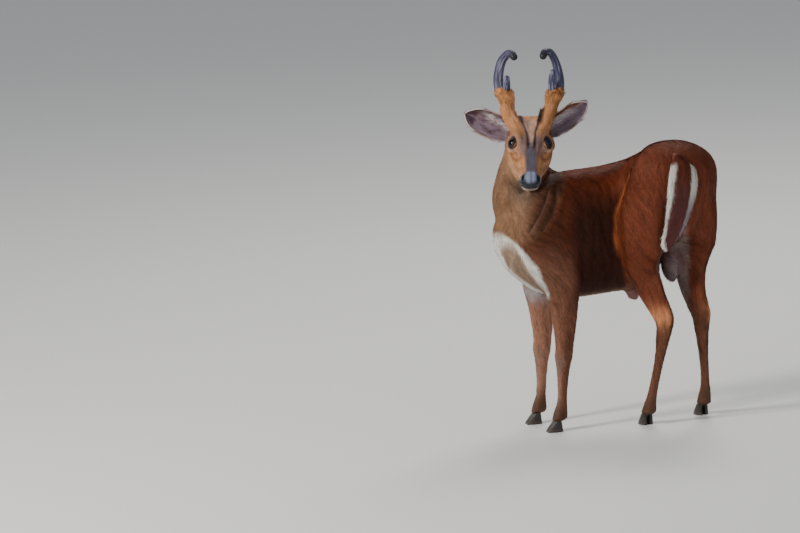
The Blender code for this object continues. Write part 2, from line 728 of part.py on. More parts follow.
def ear(name, side):
    """A cupped leaf: an outer and an inner wall over the same outline, closed at the rim."""
    root, way, length, half_width, turn = EARS[side]
    sign = 1.0 if side == "left" else -1.0
    axis = sign * way[0] * SIDE + way[1] * UP + way[2] * FRONT
    axis /= np.linalg.norm(axis)
    start = level_place(sign * root[0], root[1], root[2])
    low = FRONT - axis * float(FRONT @ axis)
    low /= np.linalg.norm(low)
    across = np.cross(axis, low)
    across *= -np.sign(across @ UP)
    opening = math.cos(turn) * low + math.sin(turn) * across
    spread = np.cross(axis, opening)
    steps, lanes = 14, 12
    walls = []
    for inset in (0.0, EAR_WALL):
        rows = []
        for step in range(steps + 1):
            t = step / steps
            width = half_width * (0.42 + 0.58 * math.sin(math.pi * min(1.0, t * 0.86 + 0.14)) ** 0.8)
            width *= math.sqrt(max(0.0, 1.0 - max(0.0, (t - 0.70) / 0.303) ** 2.6))
            cup = half_width * (0.95 - 0.55 * t)
            arc = math.radians(150 - 75 * t)
            row = []
            for lane in range(lanes + 1):
                angle = (lane / lanes - 0.5) * 2 * arc * 0.5
                reach = (width - inset) / max(0.3, math.sin(arc / 2))
                depth = cup * (1 - math.cos(angle)) / (1 - math.cos(arc / 2)) + inset
                row.append(start + axis * (length - inset) * t + spread * reach * math.sin(angle)
                           + opening * (depth - cup))
            rows.append(row)
        walls.append(rows)
    outer = np.array(walls[0]).reshape(-1, 3)
    inner = np.array(walls[1]).reshape(-1, 3)
    faces, wide = [], lanes + 1
    for base in (0, len(outer)):
        for step in range(steps):
            for lane in range(lanes):
                corner = base + step * wide + lane
                faces.append((corner, corner + 1, corner + wide + 1, corner + wide))
    rim = [lane for lane in range(wide)]
    rim += [step * wide + lanes for step in range(1, steps + 1)]
    rim += [steps * wide + lane for lane in range(lanes - 1, -1, -1)]
    rim += [step * wide for step in range(steps - 1, 0, -1)]
    for index, corner in enumerate(rim):
        after = rim[(index + 1) % len(rim)]
        faces.append((corner, after, after + len(outer), corner + len(outer)))
    return solid(name, np.vstack((outer, inner)), faces)


def hoof(name, frame, side, step, stations, across):
    """One cleave: a wedge with a flat sole, a pointed toe and a sloping front."""
    ankle = stations[-1]
    rows = []
    for height, grow in ((0.0, 1.0), (0.008, 0.97), (0.017, 0.88), (HOOF_HEIGHT, 0.80)):
        ring = []
        back = ankle[0] - 0.014 + 0.10 * height
        front = back + HOOF_LENGTH * grow - 0.55 * height
        for turn in np.linspace(0, 2 * math.pi, 12, endpoint=False):
            fore = 0.5 * (back + front) + 0.5 * (front - back) * math.cos(turn)
            narrow = 1.0 - 0.45 * max(0.0, math.cos(turn)) ** 2
            lateral = 0.5 * HOOF_WIDTH * (1.0 + math.sin(turn) * narrow * grow) + CLEFT / 2
            ring.append(leg_point((fore, ankle[1] + across * lateral, height), frame, side, step))
        rows.append(ring)
    return closed_loft(name, rows)


def paint(item, colour, rough):
    """Give an object its own material."""
    made = bpy.data.materials.new(item.name + "_finish")
    made.use_nodes = True
    shader = made.node_tree.nodes["Principled BSDF"]
    shader.inputs["Base Color"].default_value = (*COLOURS[colour], 1.0)
    shader.inputs["Roughness"].default_value = rough
    item.data.materials.clear()
    item.data.materials.append(made)
    for face in item.data.polygons:
        face.use_smooth = True


def leg_parts(legs):
    """Split what is below the leg cut into four legs, named by where they stand."""
    shape = bmesh.new()
    shape.from_mesh(legs.data)
    shape.verts.ensure_lookup_table()
    group = [-1] * len(shape.verts)
    count = 0
    for start in shape.verts:
        if group[start.index] >= 0:
            continue
        open_ends = [start]
        group[start.index] = count
        while open_ends:
            vertex = open_ends.pop()
            for edge in vertex.link_edges:
                other = edge.other_vert(vertex)
                if group[other.index] < 0:
                    group[other.index] = count
                    open_ends.append(other)
        count += 1
    made = []
    for number in range(count):
        chosen = [vertex for vertex in shape.verts if group[vertex.index] == number]
        if len(chosen) < 40:
            continue
        places = {vertex.index: index for index, vertex in enumerate(chosen)}
        points = [tuple(vertex.co) for vertex in chosen]
        faces = [tuple(places[corner.index] for corner in face.verts)
                 for face in shape.faces if face.verts[0].index in places]
        middle = np.mean(points, axis=0)
        label, station, heading = "hindleg", 0.0, RUMP_HEADING
        if middle[0] < 0:
            label, station, heading = "foreleg", SHOULDER_STATION, CHEST_HEADING
        frame = leg_frame(station, heading)
        side = "right" if (middle - frame[0]) @ frame[2] > 0 else "left"
        made.append(solid(label + "_" + side, points, faces))
    shape.free()
    bpy.data.objects.remove(legs, do_unlink=True)
    return made


def build():
    """Make every node."""
    clear_scene()
    body = thinned(fused(joined("body", body_forms()), BODY_VOXEL, BODY_ROUNDS), BODY_FACES)
    torso, legs = halves_all(body, ("torso", "legs"), (0.0, 0.0, LEG_CUT_HEIGHT), (0.0, 0.0, 1.0))
    neck, torso = halves(torso, ("neck", "torso_kept"), *NECK_BASE_PLANE)
    torso.name = "torso"
    place, normal = (np.array(value) for value in NECK_HEAD_PLANE)
    half(neck, place - normal * GAP / 2, -normal)
    largest_shell(neck)
    for leg in leg_parts(legs):
        half(leg, (0.0, 0.0, HOOF_TOP), (0.0, 0.0, 1.0))
        paint(largest_shell(leg), "coat", 0.8)
    head = shaped_face(fused(joined("head", head_forms()), HEAD_VOXEL, HEAD_ROUNDS))
    head = thinned(head, HEAD_FACES)
    half(head, place + normal * GAP / 2, normal)
    largest_shell(head)
    for side, sign in (("left", 1.0), ("right", -1.0)):
        eye = ball("eye_" + side, face_place(EYE_PLACE[0], sign * EYE_PLACE[1], EYE_PLACE[2]),
                   (NOSE, CROWN, SIDE), (EYE_RADIUS,) * 3)
        paint(eye, "eye", 0.1)
        trimmed(head, eye)
    for side, sign in (("left", 1.0), ("right", -1.0)):
        pedicle = trimmed(brushed_pedicle("pedicle_" + side, sign), head)
        beam = trimmed(antler_tube("antler_" + side, ANTLER[side], sign, 14, 3), pedicle)
        tine = trimmed(antler_tube("brow_tine_" + side, BROW_TINE[side], sign, 12, 3), pedicle)
        trimmed(tine, beam)
        leaf = trimmed(trimmed(ear("ear_" + side, side), head), pedicle)
        paint(pedicle, "face", 0.8)
        paint(beam, "antler", 0.5)
        paint(tine, "antler", 0.5)
        paint(leaf, "face", 0.8)
    paint(head, "face", 0.8)
    paint(neck, "coat", 0.8)
    paint(trimmed(fringed_tail("tail"), torso), "coat", 0.8)
    paint(torso, "coat", 0.8)
    fore = leg_frame(SHOULDER_STATION, CHEST_HEADING)
    hind = leg_frame(0.0, RUMP_HEADING)
    for side in ("left", "right"):
        for label, frame, step, stations in (("fore", fore, FORE_STEP[side], FORE_LEG),
                                             ("hind", hind, HIND_STEP[side], HIND_LEG)):
            for toe, across in (("inner", -1.0), ("outer", 1.0)):
                made = hoof("_".join(("hoof", label, side, toe)), frame, side, step, stations, across)
                paint(made, "hoof", 0.5)
    for item in bpy.data.objects:
        item.location = FRAME_SHIFT


build()
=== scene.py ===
"""A standing muntjac buck looking back at the viewer: skin, coat, antlers, eyes and hooves."""
import math

import bmesh
import bpy
import numpy as np
from mathutils import Matrix


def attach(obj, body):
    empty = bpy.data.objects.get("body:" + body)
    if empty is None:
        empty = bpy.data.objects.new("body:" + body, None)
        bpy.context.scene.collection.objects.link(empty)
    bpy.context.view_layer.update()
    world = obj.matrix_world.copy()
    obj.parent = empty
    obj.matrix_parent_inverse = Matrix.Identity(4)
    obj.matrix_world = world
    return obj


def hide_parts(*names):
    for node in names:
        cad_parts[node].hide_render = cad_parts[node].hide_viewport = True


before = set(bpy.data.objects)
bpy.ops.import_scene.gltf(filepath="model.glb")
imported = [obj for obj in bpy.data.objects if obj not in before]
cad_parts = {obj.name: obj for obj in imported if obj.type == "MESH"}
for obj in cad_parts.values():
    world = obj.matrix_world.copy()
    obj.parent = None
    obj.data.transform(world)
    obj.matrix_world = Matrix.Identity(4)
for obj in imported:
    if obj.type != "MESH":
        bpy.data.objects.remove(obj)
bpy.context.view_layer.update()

# The studio. A pale floor that runs on to the horizon, wide soft lamps and a long lens at the
# photograph's height and roll. Nothing here belongs to the animal.
SHIFT = np.array((0.0123, -0.0108, 0.0))
LOOK_DOWN, LOOK_ROLL, LOOK_REACH = math.radians(10), math.radians(3), 19.56
AIM_RIGHT, AIM_UP = -0.462, 0.3509
across, level = np.array((1.0, 0.0, 0.0)), np.array((0.0, math.sin(LOOK_DOWN), math.cos(LOOK_DOWN)))
ahead = np.array((0.0, math.cos(LOOK_DOWN), -math.sin(LOOK_DOWN)))
look_right = math.cos(LOOK_ROLL) * across - math.sin(LOOK_ROLL) * level
look_up = math.sin(LOOK_ROLL) * across + math.cos(LOOK_ROLL) * level


def unit(ways):
    """Directions at length 1, for one vector or for rows of them."""
    return ways / np.maximum(np.linalg.norm(ways, axis=-1, keepdims=True), 1e-9)


def linked(name, data):
    """An object of this data in the scene, at the origin."""
    made = bpy.data.objects.new(name, data)
    bpy.context.scene.collection.objects.link(made)
    return made


def stood(name, data, right, up, back, place):
    """An object that stands at a place, turned so that its own axes point these three ways."""
    turned = np.eye(4)
    turned[:3] = np.stack((right, up, back, place), axis=1)
    made = linked(name, data)
    made.matrix_world = Matrix(turned)
    return made


def feed(tree, inputs, target="Principled BSDF"):
    """Give a node's inputs numbers, or join them to the outputs of other nodes."""
    for socket, value in inputs.items():
        entry = tree.nodes[target].inputs[socket]
        if isinstance(value, bpy.types.NodeSocket):
            tree.links.new(value, entry)
        else:
            entry.default_value = value


def new_finish(name):
    """A plain material and its node tree."""
    made = bpy.data.materials.new(name)
    made.use_nodes = True
    return made, made.node_tree


def mesh_piece(name, points, faces):
    """A smooth mesh object at the origin from arrays of points and of face corners."""
    mesh = bpy.data.meshes.new(name)
    faces = faces if isinstance(faces, list) else faces.tolist()
    mesh.from_pydata(np.asarray(points, float).tolist(), [], faces)
    mesh.polygons.foreach_set("use_smooth", np.ones(len(mesh.polygons), bool))
    mesh.update()
    return linked(name, mesh)


lens = bpy.data.cameras.new("camera")
lens.lens, lens.sensor_width, lens.clip_end = 400.0, 36.0, 100.0
aim = SHIFT + AIM_RIGHT * look_right + AIM_UP * look_up
bpy.context.scene.camera = stood("camera", lens, look_right, look_up, -ahead, aim - ahead * LOOK_REACH)
for label, place, target, size, watts, tint in (
        ("key", (-3.3, -2.0, 2.6), (0.0, 0.0, 0.42), 1.0, 165.0, (1.0, 0.96, 0.9)),
        ("fill", (2.6, -3.6, 1.4), (0.0, 0.0, 0.4), 3.0, 16.0, (0.92, 0.96, 1.0)),
        ("rim", (0.6, 2.4, 3.4), (0.0, 0.0, 0.5), 1.6, 75.0, (1.0, 0.97, 0.93))):
    lamp = bpy.data.lights.new(label, "AREA")
    lamp.shape, lamp.size, lamp.energy, lamp.color = "DISK", size, watts, tint
    back = unit(np.array(place) - target)
    side = unit(np.cross((0.0, 0.0, 1.0), back))
    stood(label, lamp, side, np.cross(back, side), back, place)
sky = bpy.data.worlds.new("pale_room")
sky.use_nodes = True
feed(sky.node_tree, {"Color": (0.86, 0.9, 0.95, 1.0), "Strength": 0.44}, "Background")
bpy.context.scene.world = sky
floor = mesh_piece("floor", [(-14, -14, 0), (14, -14, 0), (14, 14, 0), (-14, 14, 0)], [(0, 1, 2, 3)])
floor_finish, tree = new_finish("floor_finish")
feed(tree, {"Base Color": (0.74, 0.74, 0.72, 1), "Roughness": 0.9})
floor.data.materials.append(floor_finish)

# The skin. Hide over the muscles of trunk, neck, head, legs and pedicles, one surface without
# a seam. It is the fused solids drawn in by the depth of the coat, with the face worked finer.
FLESH = ("torso", "neck", "head", "foreleg_left", "foreleg_right", "hindleg_left", "hindleg_right",
         "pedicle_left", "pedicle_right", "eye_left", "eye_right")
SKIN_VOXEL, SKIN_ROUNDS, MEET = 0.0038, 8, 0.0006
HIPS, RUMP_HEADING, CHEST_HEADING = (0.145, 0.016), math.radians(62), math.radians(-14)
BEND = (-0.035, 0.165)
HEAD_ORIGIN = SHIFT + (-0.1455, -0.075, 0.657)
SLOPE = math.radians(34)
SIDE, UP, FRONT = look_right, look_up, -ahead
NOSE = math.sin(SLOPE) * FRONT - math.cos(SLOPE) * UP
CROWN = math.cos(SLOPE) * FRONT + math.sin(SLOPE) * UP
NAPE_CUT = (np.array((-0.148, 0.02, 0.593)), np.array((0.0, -0.62, 0.785)))
EYE_AT, EYE_SIZE, EYE_OPEN, LID_TAPER = (0.0, 0.0338, -0.014), 0.0132, (0.0102, 0.008), 0.35
EYE_WAY, EYE_SLANT = unit(np.array((0.04, 0.62, 0.78))), np.array((0.8, 0.45, -0.4))


def soft(value, low, high):
    """0 at low, 1 at high, level beyond, and 3t squared less 2t cubed between.

    Where low lies above high, it is 1 below high and 0 above low."""
    share = np.clip((value - low) / (high - low), 0.0, 1.0)
    return share * share * (3.0 - 2.0 * share)


def spine_table():
    """Stations along the curved spine with their heading and place, by summing the headings."""
    stations = np.linspace(-0.24, 0.52, 761)
    headings = RUMP_HEADING + (CHEST_HEADING - RUMP_HEADING) * soft(stations, *BEND)
    step = stations[1] - stations[0]
    places = np.stack((-np.cos(headings), np.sin(headings)), axis=1) * step
    places = np.cumsum(places, axis=0) - 0.5 * places
    start = [np.interp(0.0, stations, places[:, axis]) for axis in (0, 1)]
    return stations, headings, places - start + HIPS


SPINE = spine_table()


def on_spine(station):
    """Place in plan of each station along the spine."""
    return np.stack([np.interp(station, SPINE[0], column) for column in SPINE[2].T], axis=-1)


def spine_place(points):
    """Station along the spine, offset to the animal's right, and heading, for each point.

    The nearest of some coarse stations is bettered by Newton steps along the heading."""
    stations, headings, places = SPINE
    flat = points[:, :2] - SHIFT[:2]
    coarse = slice(None, None, 20)
    gaps = ((flat[:, None, :] - places[None, coarse, :]) ** 2).sum(axis=2)
    found = stations[coarse][gaps.argmin(axis=1)]
    bends = np.gradient(headings, stations)
    for _ in range(4):
        heading = np.interp(found, stations, headings)
        east, north = (flat - on_spine(found)).T
        on = north * np.sin(heading) - east * np.cos(heading)
        out = east * np.sin(heading) + north * np.cos(heading)
        slack = np.maximum(0.35, 1.0 - np.interp(found, stations, bends) * out)
        found = np.clip(found + on / slack, stations[0], stations[-1])
    return found, out, heading


def face_place(points):
    """Along the face line, sideways to the animal's left, above it, and level up and front."""
    away = points - HEAD_ORIGIN
    return away @ NOSE, away @ SIDE, away @ CROWN, away @ UP, away @ FRONT


def head_share(points, low, high):
    """0 below the nape and 1 above it, with a soft change from low to high over the cut."""
    place = points - SHIFT
    return soft((place - NAPE_CUT[0]) @ NAPE_CUT[1], low, high) * soft(place[:, 0], -0.02, -0.05)


def from_line(points, line):
    """Distance of each point from a line of several places, in any number of axes."""
    near = np.full(len(points), 1.0)
    for start, stop in zip(np.array(line[:-1], float), np.array(line[1:], float)):
        way = stop - start
        share = np.clip((points - start) @ way / (way @ way), 0.0, 1.0)
        near = np.minimum(near, np.linalg.norm(points - start - share[:, None] * way, axis=1))
    return near


def bell(points, line, radius):
    """1 on a line of several places and less round it: exp of minus (distance / radius) squared."""
    return np.exp(-(from_line(points, line) / radius) ** 2)


def numbers(items, key, width, kind=float):
    """One property of all the items of a mesh, as rows of numbers."""
    values = np.empty(len(items) * width, kind)
    items.foreach_get(key, values)
    return values.reshape(-1, width)


def mesh_points(item):
    """Vertex places and normals of a mesh object, as two arrays."""
    return numbers(item.data.vertices, "co", 3), numbers(item.data.vertices, "normal", 3)


def set_points(item, places):
    """Put new vertex places into a mesh object."""
    item.data.vertices.foreach_set("co", np.asarray(places, float).ravel())
    item.data.update()
    return item


def with_modifiers_applied(item):
    """Replace an object's mesh by what its modifiers make of it."""
    bpy.context.view_layer.update()
    item.data = bpy.data.meshes.new_from_object(item.evaluated_get(bpy.context.evaluated_depsgraph_get()))
    item.modifiers.clear()
    return item


def worked(item, change):
    """Change an object's mesh by a function of its loose vertices, edges and faces."""
    shape = bmesh.new()
    shape.from_mesh(item.data)
    change(shape)
    shape.to_mesh(item.data)
    shape.free()
    return item


def fused_skin(name):
    """One closed surface of all the flesh.

    Each node's faces are merged at their corners and grown until neighbours meet, and a voxel
    remesh with even smoothing makes one surface of them."""
    def gathered(shape):
        """Take in the faces of all nodes, merged at their corners and facing outwards."""
        for part in FLESH:
            shape.from_mesh(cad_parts[part].data)
        bmesh.ops.remove_doubles(shape, verts=shape.verts, dist=1e-5)
        bmesh.ops.recalc_face_normals(shape, faces=shape.faces)
    made = worked(linked(name, bpy.data.meshes.new(name)), gathered)
    places, normals = mesh_points(made)
    set_points(made, places + normals * MEET)
    fuse = made.modifiers.new("fuse", "REMESH")
    fuse.mode, fuse.voxel_size = "VOXEL", SKIN_VOXEL
    even = made.modifiers.new("even", "SMOOTH")
    even.factor, even.iterations = 0.5, SKIN_ROUNDS
    return largest_only(with_modifiers_applied(made))


def largest_only(item):
    """Drop every loose shell but the largest: labels spread over the edges until they settle."""
    first, second = numbers(item.data.edges, "vertices", 2, int).T
    label, before = np.arange(len(item.data.vertices)), None
    while before is None or (label != before).any():
        before = label
        least = np.minimum(label[first], label[second])
        label = label.copy()
        np.minimum.at(label, first, least)
        np.minimum.at(label, second, least)
        label = label[label]
    kept = np.bincount(label).argmax()
    return worked(item, lambda shape: bmesh.ops.delete(shape, context="VERTS", geom=[
        vertex for vertex, mark in zip(shape.verts, label) if mark != kept]))


def finer(item, chosen):
    """Cut every edge between chosen vertices in two and round the new points a little."""
    def cut(shape):
        """Halve the chosen edges and cut what has more than four corners into triangles."""
        edges = [edge for edge in shape.edges if all(chosen[vertex.index] for vertex in edge.verts)]
        bmesh.ops.subdivide_edges(shape, edges=edges, cuts=1, use_grid_fill=True, smooth=0.6)
        bmesh.ops.triangulate(shape, faces=[face for face in shape.faces if len(face.verts) > 4])
    return worked(item, cut)


def coat_depth(places):
    """How far the hide lies below the tips of the coat: deep on the trunk, little on the feet."""
    head = head_share(places, 0.0, 0.03)
    body = 0.0026 * soft(places[:, 2], 0.2, 0.36) + 0.0006
    return body * (1 - head) + 0.001 * head


# Work on the face in the head's own axes, as along, sideways and above, on both sides:
# each line has a radius and a height, grooves negative.
FACE_FOLDS = (
    (((0.0855, 0.0172, -0.0165), (0.0905, 0.0165, -0.0185), (0.095, 0.0128, -0.0225)), 0.003, -0.008),
    (((0.087, 0.022, -0.021), (0.093, 0.0195, -0.026), (0.097, 0.014, -0.0285)), 0.0026, 0.0016),
    (((0.1035, 0.0, -0.036), (0.1, 0.012, -0.0395), (0.09, 0.0205, -0.041),
      (0.078, 0.0245, -0.042), (0.06, 0.03, -0.047)), 0.0016, -0.0038),
    (((0.104, 0.0, -0.042), (0.098, 0.013, -0.045), (0.08, 0.0225, -0.048)), 0.0032, 0.0018),
    (((0.102, 0.0, -0.0235), (0.102, 0.0, -0.033)), 0.0011, -0.0016),
    (((0.016, 0.0325, -0.0195), (0.022, 0.03, -0.018), (0.028, 0.0275, -0.017)), 0.0026, -0.004),
    (((0.012, 0.029, -0.013), (0.024, 0.0245, -0.012), (0.036, 0.0215, -0.012)), 0.0034, 0.0016),
    (((0.018, 0.039, -0.03), (0.03, 0.0335, -0.025), (0.04, 0.029, -0.023)), 0.0034, 0.0014),
    (((-0.05, 0.0215, 0.002), (-0.02, 0.0135, 0.004), (0.01, 0.006, 0.001)), 0.0042, 0.0026),
    (((-0.045, 0.01, 0.003), (-0.015, 0.005, 0.002)), 0.005, -0.0012),
    (((0.03, 0.013, -0.008), (0.06, 0.011, -0.009), (0.082, 0.0095, -0.01)), 0.0055, 0.0012),
    (((0.02, 0.042, -0.048), (0.045, 0.034, -0.05), (0.065, 0.029, -0.048)), 0.006, -0.0014),
    (((0.018, 0.041, -0.033), (0.03, 0.034, -0.028), (0.034, 0.025, -0.02)), 0.0045, -0.002),
    (((-0.016, 0.04, -0.008), (-0.014, 0.047, -0.02), (-0.002, 0.052, -0.033)), 0.005, 0.003),
)
NOSTRIL, NOSTRIL_RIM, MOUTH, TEAR_SLIT = (FACE_FOLDS[row][0] for row in (0, 1, 2, 5))


def laid_flat(ways, normals):
    """Directions with their part along the normals taken out, at length 1."""
    return unit(ways - normals * (ways * normals).sum(axis=-1, keepdims=True))


def eye_axes(sign):
    """Centre of an eyeball, the way it looks, and the long and short way of its opening."""
    to_world = np.stack((NOSE, SIDE * sign, CROWN))
    way = EYE_WAY @ to_world
    long_way = laid_flat(EYE_SLANT @ to_world, way)
    return HEAD_ORIGIN + EYE_AT @ to_world, way, long_way, np.cross(way, long_way) * sign


def eye_place(points, sign):
    """Places from an eye's centre, and how far along and across its opening, in shares of it."""
    centre, _, long_way, short_way = eye_axes(sign)
    away = points - centre
    return away, away @ long_way / EYE_OPEN[0], away @ short_way / EYE_OPEN[1]


def past_jaw(side, up):
    """How far out of the face's outline, seen in front, a place lies: positive on the neck."""
    return side - np.interp(up, (-0.104, -0.096, -0.084, -0.07, -0.052, -0.03, -0.01, 0.02),
                            (0.0, 0.018, 0.029, 0.038, 0.046, 0.052, 0.055, 0.064))


def modelled_face(item):
    """Press grooves and raise folds by bell curves round their lines, then seat the eyes.

    Inside the almond opening the skin is drawn in behind the eyeball; round it the lids lie
    on a sphere a little larger than the eyeball and fade into the face."""
    places, normals = mesh_points(item)
    along, out, above, up, front = face_place(places)
    local = np.stack((along, np.abs(out), above), axis=1)
    push = sum(height * bell(local, line, radius) for line, radius, height in FACE_FOLDS)
    places = places + normals * np.clip(push, -0.0075, 0.005)[:, None]
    edge = past_jaw(local[:, 1], up)
    step = 0.011 * (soft(-edge, -0.002, 0.006) * soft(-edge, 0.026, 0.008)
                    - soft(edge, -0.002, 0.006) * soft(edge, 0.034, 0.01))
    step *= soft(-up, 0.012, 0.03) * soft(up, -0.125, -0.104) * soft(normals @ FRONT, -0.2, 0.3) * (
        soft(front, 0.0, -0.02)) * soft(front, -0.13, -0.11)
    places = places + step[:, None] * FRONT
    for sign in (1.0, -1.0):
        away, wide, tall = eye_place(places, sign)
        reach = np.maximum(np.linalg.norm(away, axis=1), 1e-9)
        ring = np.sqrt(wide ** 2 + tall ** 2 * (1 + LID_TAPER * wide ** 2))
        near = (reach < EYE_NEAR) & (away @ eye_axes(sign)[1] > 0.0)
        lid = EYE_SIZE + 0.0014 - 0.001 * soft(ring, 1.05, 1.5)
        wish = np.where(ring < 1.0, EYE_SIZE - 0.003, reach + (lid - reach) * soft(ring, 1.75, 1.15))
        places = places + away * (near * (wish / reach - 1))[:, None]
    return set_points(item, places)


# Muscle and bone under the hide of the trunk and legs, in design places, radius and height.
HAUNCH_FRONT = ((0.07, -0.012, 0.56), (0.053, -0.019, 0.527), (0.031, -0.018, 0.477),
                (0.028, -0.021, 0.418), (0.05, -0.006, 0.348))
BODY_FOLDS = (
    (((-0.052, 0.0, 0.47), (-0.04, 0.005, 0.4), (-0.046, 0.012, 0.345)), 0.016, -0.005),
    (((-0.11, -0.015, 0.51), (-0.135, -0.02, 0.44), (-0.11, -0.02, 0.37)), 0.016, 0.0022),
    (((-0.085, 0.0, 0.5), (-0.105, -0.01, 0.44), (-0.085, -0.005, 0.38)), 0.009, -0.0022),
    (HAUNCH_FRONT, 0.0085, -0.003),
    (((0.083, -0.03, 0.535), (0.055, -0.034, 0.477), (0.05, -0.037, 0.418), (0.066, -0.028, 0.352)),
     0.02, 0.0075),
    (((-0.095, -0.003, 0.544), (-0.097, -0.024, 0.514), (-0.108, -0.04, 0.485), (-0.128, -0.055, 0.455)),
     0.0058, -0.0034),
    (((-0.084, -0.006, 0.54), (-0.086, -0.03, 0.51), (-0.098, -0.048, 0.478)), 0.006, 0.002),
    (((-0.112, -0.012, 0.538), (-0.119, -0.03, 0.516), (-0.135, -0.045, 0.485), (-0.156, -0.06, 0.455)),
     0.005, -0.003),
    (((-0.104, -0.006, 0.545), (-0.108, -0.028, 0.514), (-0.121, -0.043, 0.485), (-0.142, -0.058, 0.455)),
     0.0045, 0.002),
    (((-0.14, -0.02, 0.525), (-0.155, -0.033, 0.5), (-0.175, -0.042, 0.47)), 0.005, -0.0022),
)
# The bone of the pedicles below the brush of long hair: up, sideways, front and radius.
STALK = ((0.05, 0.0372, -0.0312, 0.0165), (0.074, 0.046, -0.0455, 0.0155),
         (0.09, 0.052, -0.056, 0.0158), (0.104, 0.056, -0.064, 0.017), (0.13, 0.06, -0.07, 0.014))


def plain_stalks(item):
    """Draw the skin of the pedicles in to their bone, level by level, and lower their tops."""
    places, _ = mesh_points(item)
    _, out, _, up, front = face_place(places)
    rows = np.array(STALK).T
    middle, forward, radius = (np.interp(up, rows[0], row) for row in rows[1:])
    aside, fore = out - np.sign(out) * middle, front - forward
    pull = (1 - np.minimum(1.0, radius / np.maximum(np.hypot(aside, fore), 1e-9))) * soft(up, 0.052, 0.072)
    lower = np.maximum(up - 0.107, 0.0) * 0.8
    step = 0.006 * soft(-out, 0.012, 0.022) * soft(up, 0.012, 0.045) * soft(up, 0.085, 0.06) * (
        soft(-front, 0.08, 0.05))
    return set_points(item, places - (aside * pull + step)[:, None] * SIDE - (fore * pull)[:, None] * FRONT
                      - lower[:, None] * UP)


def eased(item, share, rounds):
    """Even out part of a surface: each round moves a vertex by its share to its neighbours' mean."""
    places, _ = mesh_points(item)
    first, second = numbers(item.data.edges, "vertices", 2, int).T
    both, other = np.concatenate((first, second)), np.concatenate((second, first))
    count = np.maximum(np.bincount(both, minlength=len(places)), 1)
    for _ in range(rounds):
        mean = np.stack([np.bincount(both, column[other], len(places)) for column in places.T], axis=1)
        places = places + (mean / count[:, None] - places) * share[:, None]
    return set_points(item, places)


def crease_share(points):
    """1 where the solids meet in creases that the hide would span: haunch, shoulder and loin."""
    station, height = spine_place(points)[0], points[:, 2]
    haunch = soft(station, 0.02, 0.05) * soft(station, 0.19, 0.15) * soft(height, 0.33, 0.37)
    shoulder = soft(station, 0.24, 0.27) * soft(height, 0.36, 0.4) * soft(station, 0.39, 0.36)
    behind = soft(station, 0.02, -0.02) * soft(height, 0.395, 0.42) * soft(height, 0.54, 0.5)
    return np.maximum(np.maximum(haunch, shoulder), behind) * (1 - head_share(points, -0.03, 0.0))


def modelled_body(item):
    """Shape the muscles by bell curves round lines on the near side, and ribs by faint waves."""
    places, normals = mesh_points(item)
    push = sum(height * bell(places - SHIFT, line, radius) for line, radius, height in BODY_FOLDS)
    station, out, _ = spine_place(places)
    ribs = soft(station, 0.1, 0.14) * soft(station, 0.26, 0.22) * soft(np.abs(out), 0.04, 0.07)
    push += 0.0005 * ribs * np.sin(station * 2 * math.pi / 0.022 + places[:, 2] * 9.0)
    return set_points(item, places + normals * (push - coat_depth(places))[:, None])


skin = fused_skin("skin")
CREASE_PULL, CREASE_ROUNDS, EYE_FINE, EYE_NEAR = 0.8, 45, 0.022, 0.026
skin = eased(plain_stalks(skin), CREASE_PULL * crease_share(mesh_points(skin)[0]), CREASE_ROUNDS)
skin = modelled_body(skin)
skin_places, _ = mesh_points(skin)
along, out, above, up, _ = face_place(skin_places)
skin = finer(skin, (along > -0.075) & (along < 0.12) & (above > -0.085) & (np.abs(out) < 0.07)
             & (up < 0.035) & ((skin_places - SHIFT - NAPE_CUT[0]) @ NAPE_CUT[1] > 0.004))
skin_places, _ = mesh_points(skin)
along, out, above, _, _ = face_place(skin_places)
close_eye = np.any([np.linalg.norm(skin_places - eye_axes(sign)[0], axis=1) < EYE_FINE
                    for sign in (1.0, -1.0)], axis=0)
skin = finer(skin, close_eye | ((along > 0.07) & (np.abs(out) < 0.04) & (above > -0.07)))
skin = modelled_face(skin)

# The colours of the coat. Chestnut with a dark flank, partly its own colour and partly painted
# shade, grey-brown neck, white chest and inner legs, orange brows with dark lines between them.
# Some places carry painted light and shade, named where they are laid. Skin and hair take them from one
# rule.
def linear(red, green, blue):
    """A colour given as the eye reads it, 0 to 255, in the renderer's linear light."""
    value = np.array((red, green, blue), float) / 255.0
    return np.where(value <= 0.04045, value / 12.92, ((value + 0.055) / 1.055) ** 2.4)


TONES = {name: linear(*value) for name, value in {
    "chestnut": (104, 50, 28), "rump": (120, 62, 42), "back": (126, 58, 32), "flank": (52, 24, 16),
    "haunch_rim_light": (160, 86, 44), "shoulder": (98, 54, 36), "neck": (146, 108, 80),
    "nape": (84, 50, 36), "throat": (150, 134, 116), "white": (244, 240, 232),
    "chest_brown": (158, 124, 98), "inner_fore": (196, 186, 190), "shin": (122, 78, 58),
    "shin_pale": (184, 132, 108), "knee_grey": (158, 132, 118), "pastern": (96, 68, 52),
    "inner": (150, 130, 124), "belly": (120, 92, 70), "hock_highlight": (226, 150, 104), "brow": (204, 142, 96),
    "crown": (206, 124, 70), "forehead": (196, 152, 130), "line": (44, 30, 28),
    "bridge": (100, 92, 104), "cheek": (196, 138, 92), "jaw": (200, 158, 128),
    "muzzle": (196, 168, 148), "nose": (38, 40, 54), "nose_highlight": (172, 180, 214),
    "nostril": (8, 8, 12), "temple": (158, 110, 80), "cheek_dark": (132, 82, 54), "lid": (30, 24, 24),
    "eye_ring": (140, 106, 96), "pale": (206, 184, 168), "scrotum": (140, 124, 126),
    "sheath": (170, 124, 122), "tail": (104, 62, 60),
}.items()}


# Large numbers that scatter the cells of a lattice: for each axis, for the seed and for the end.
SCATTER, SCATTER_SEED, SCATTER_END = (73856093, 19349663, 83492791), 2654435, 1274126177


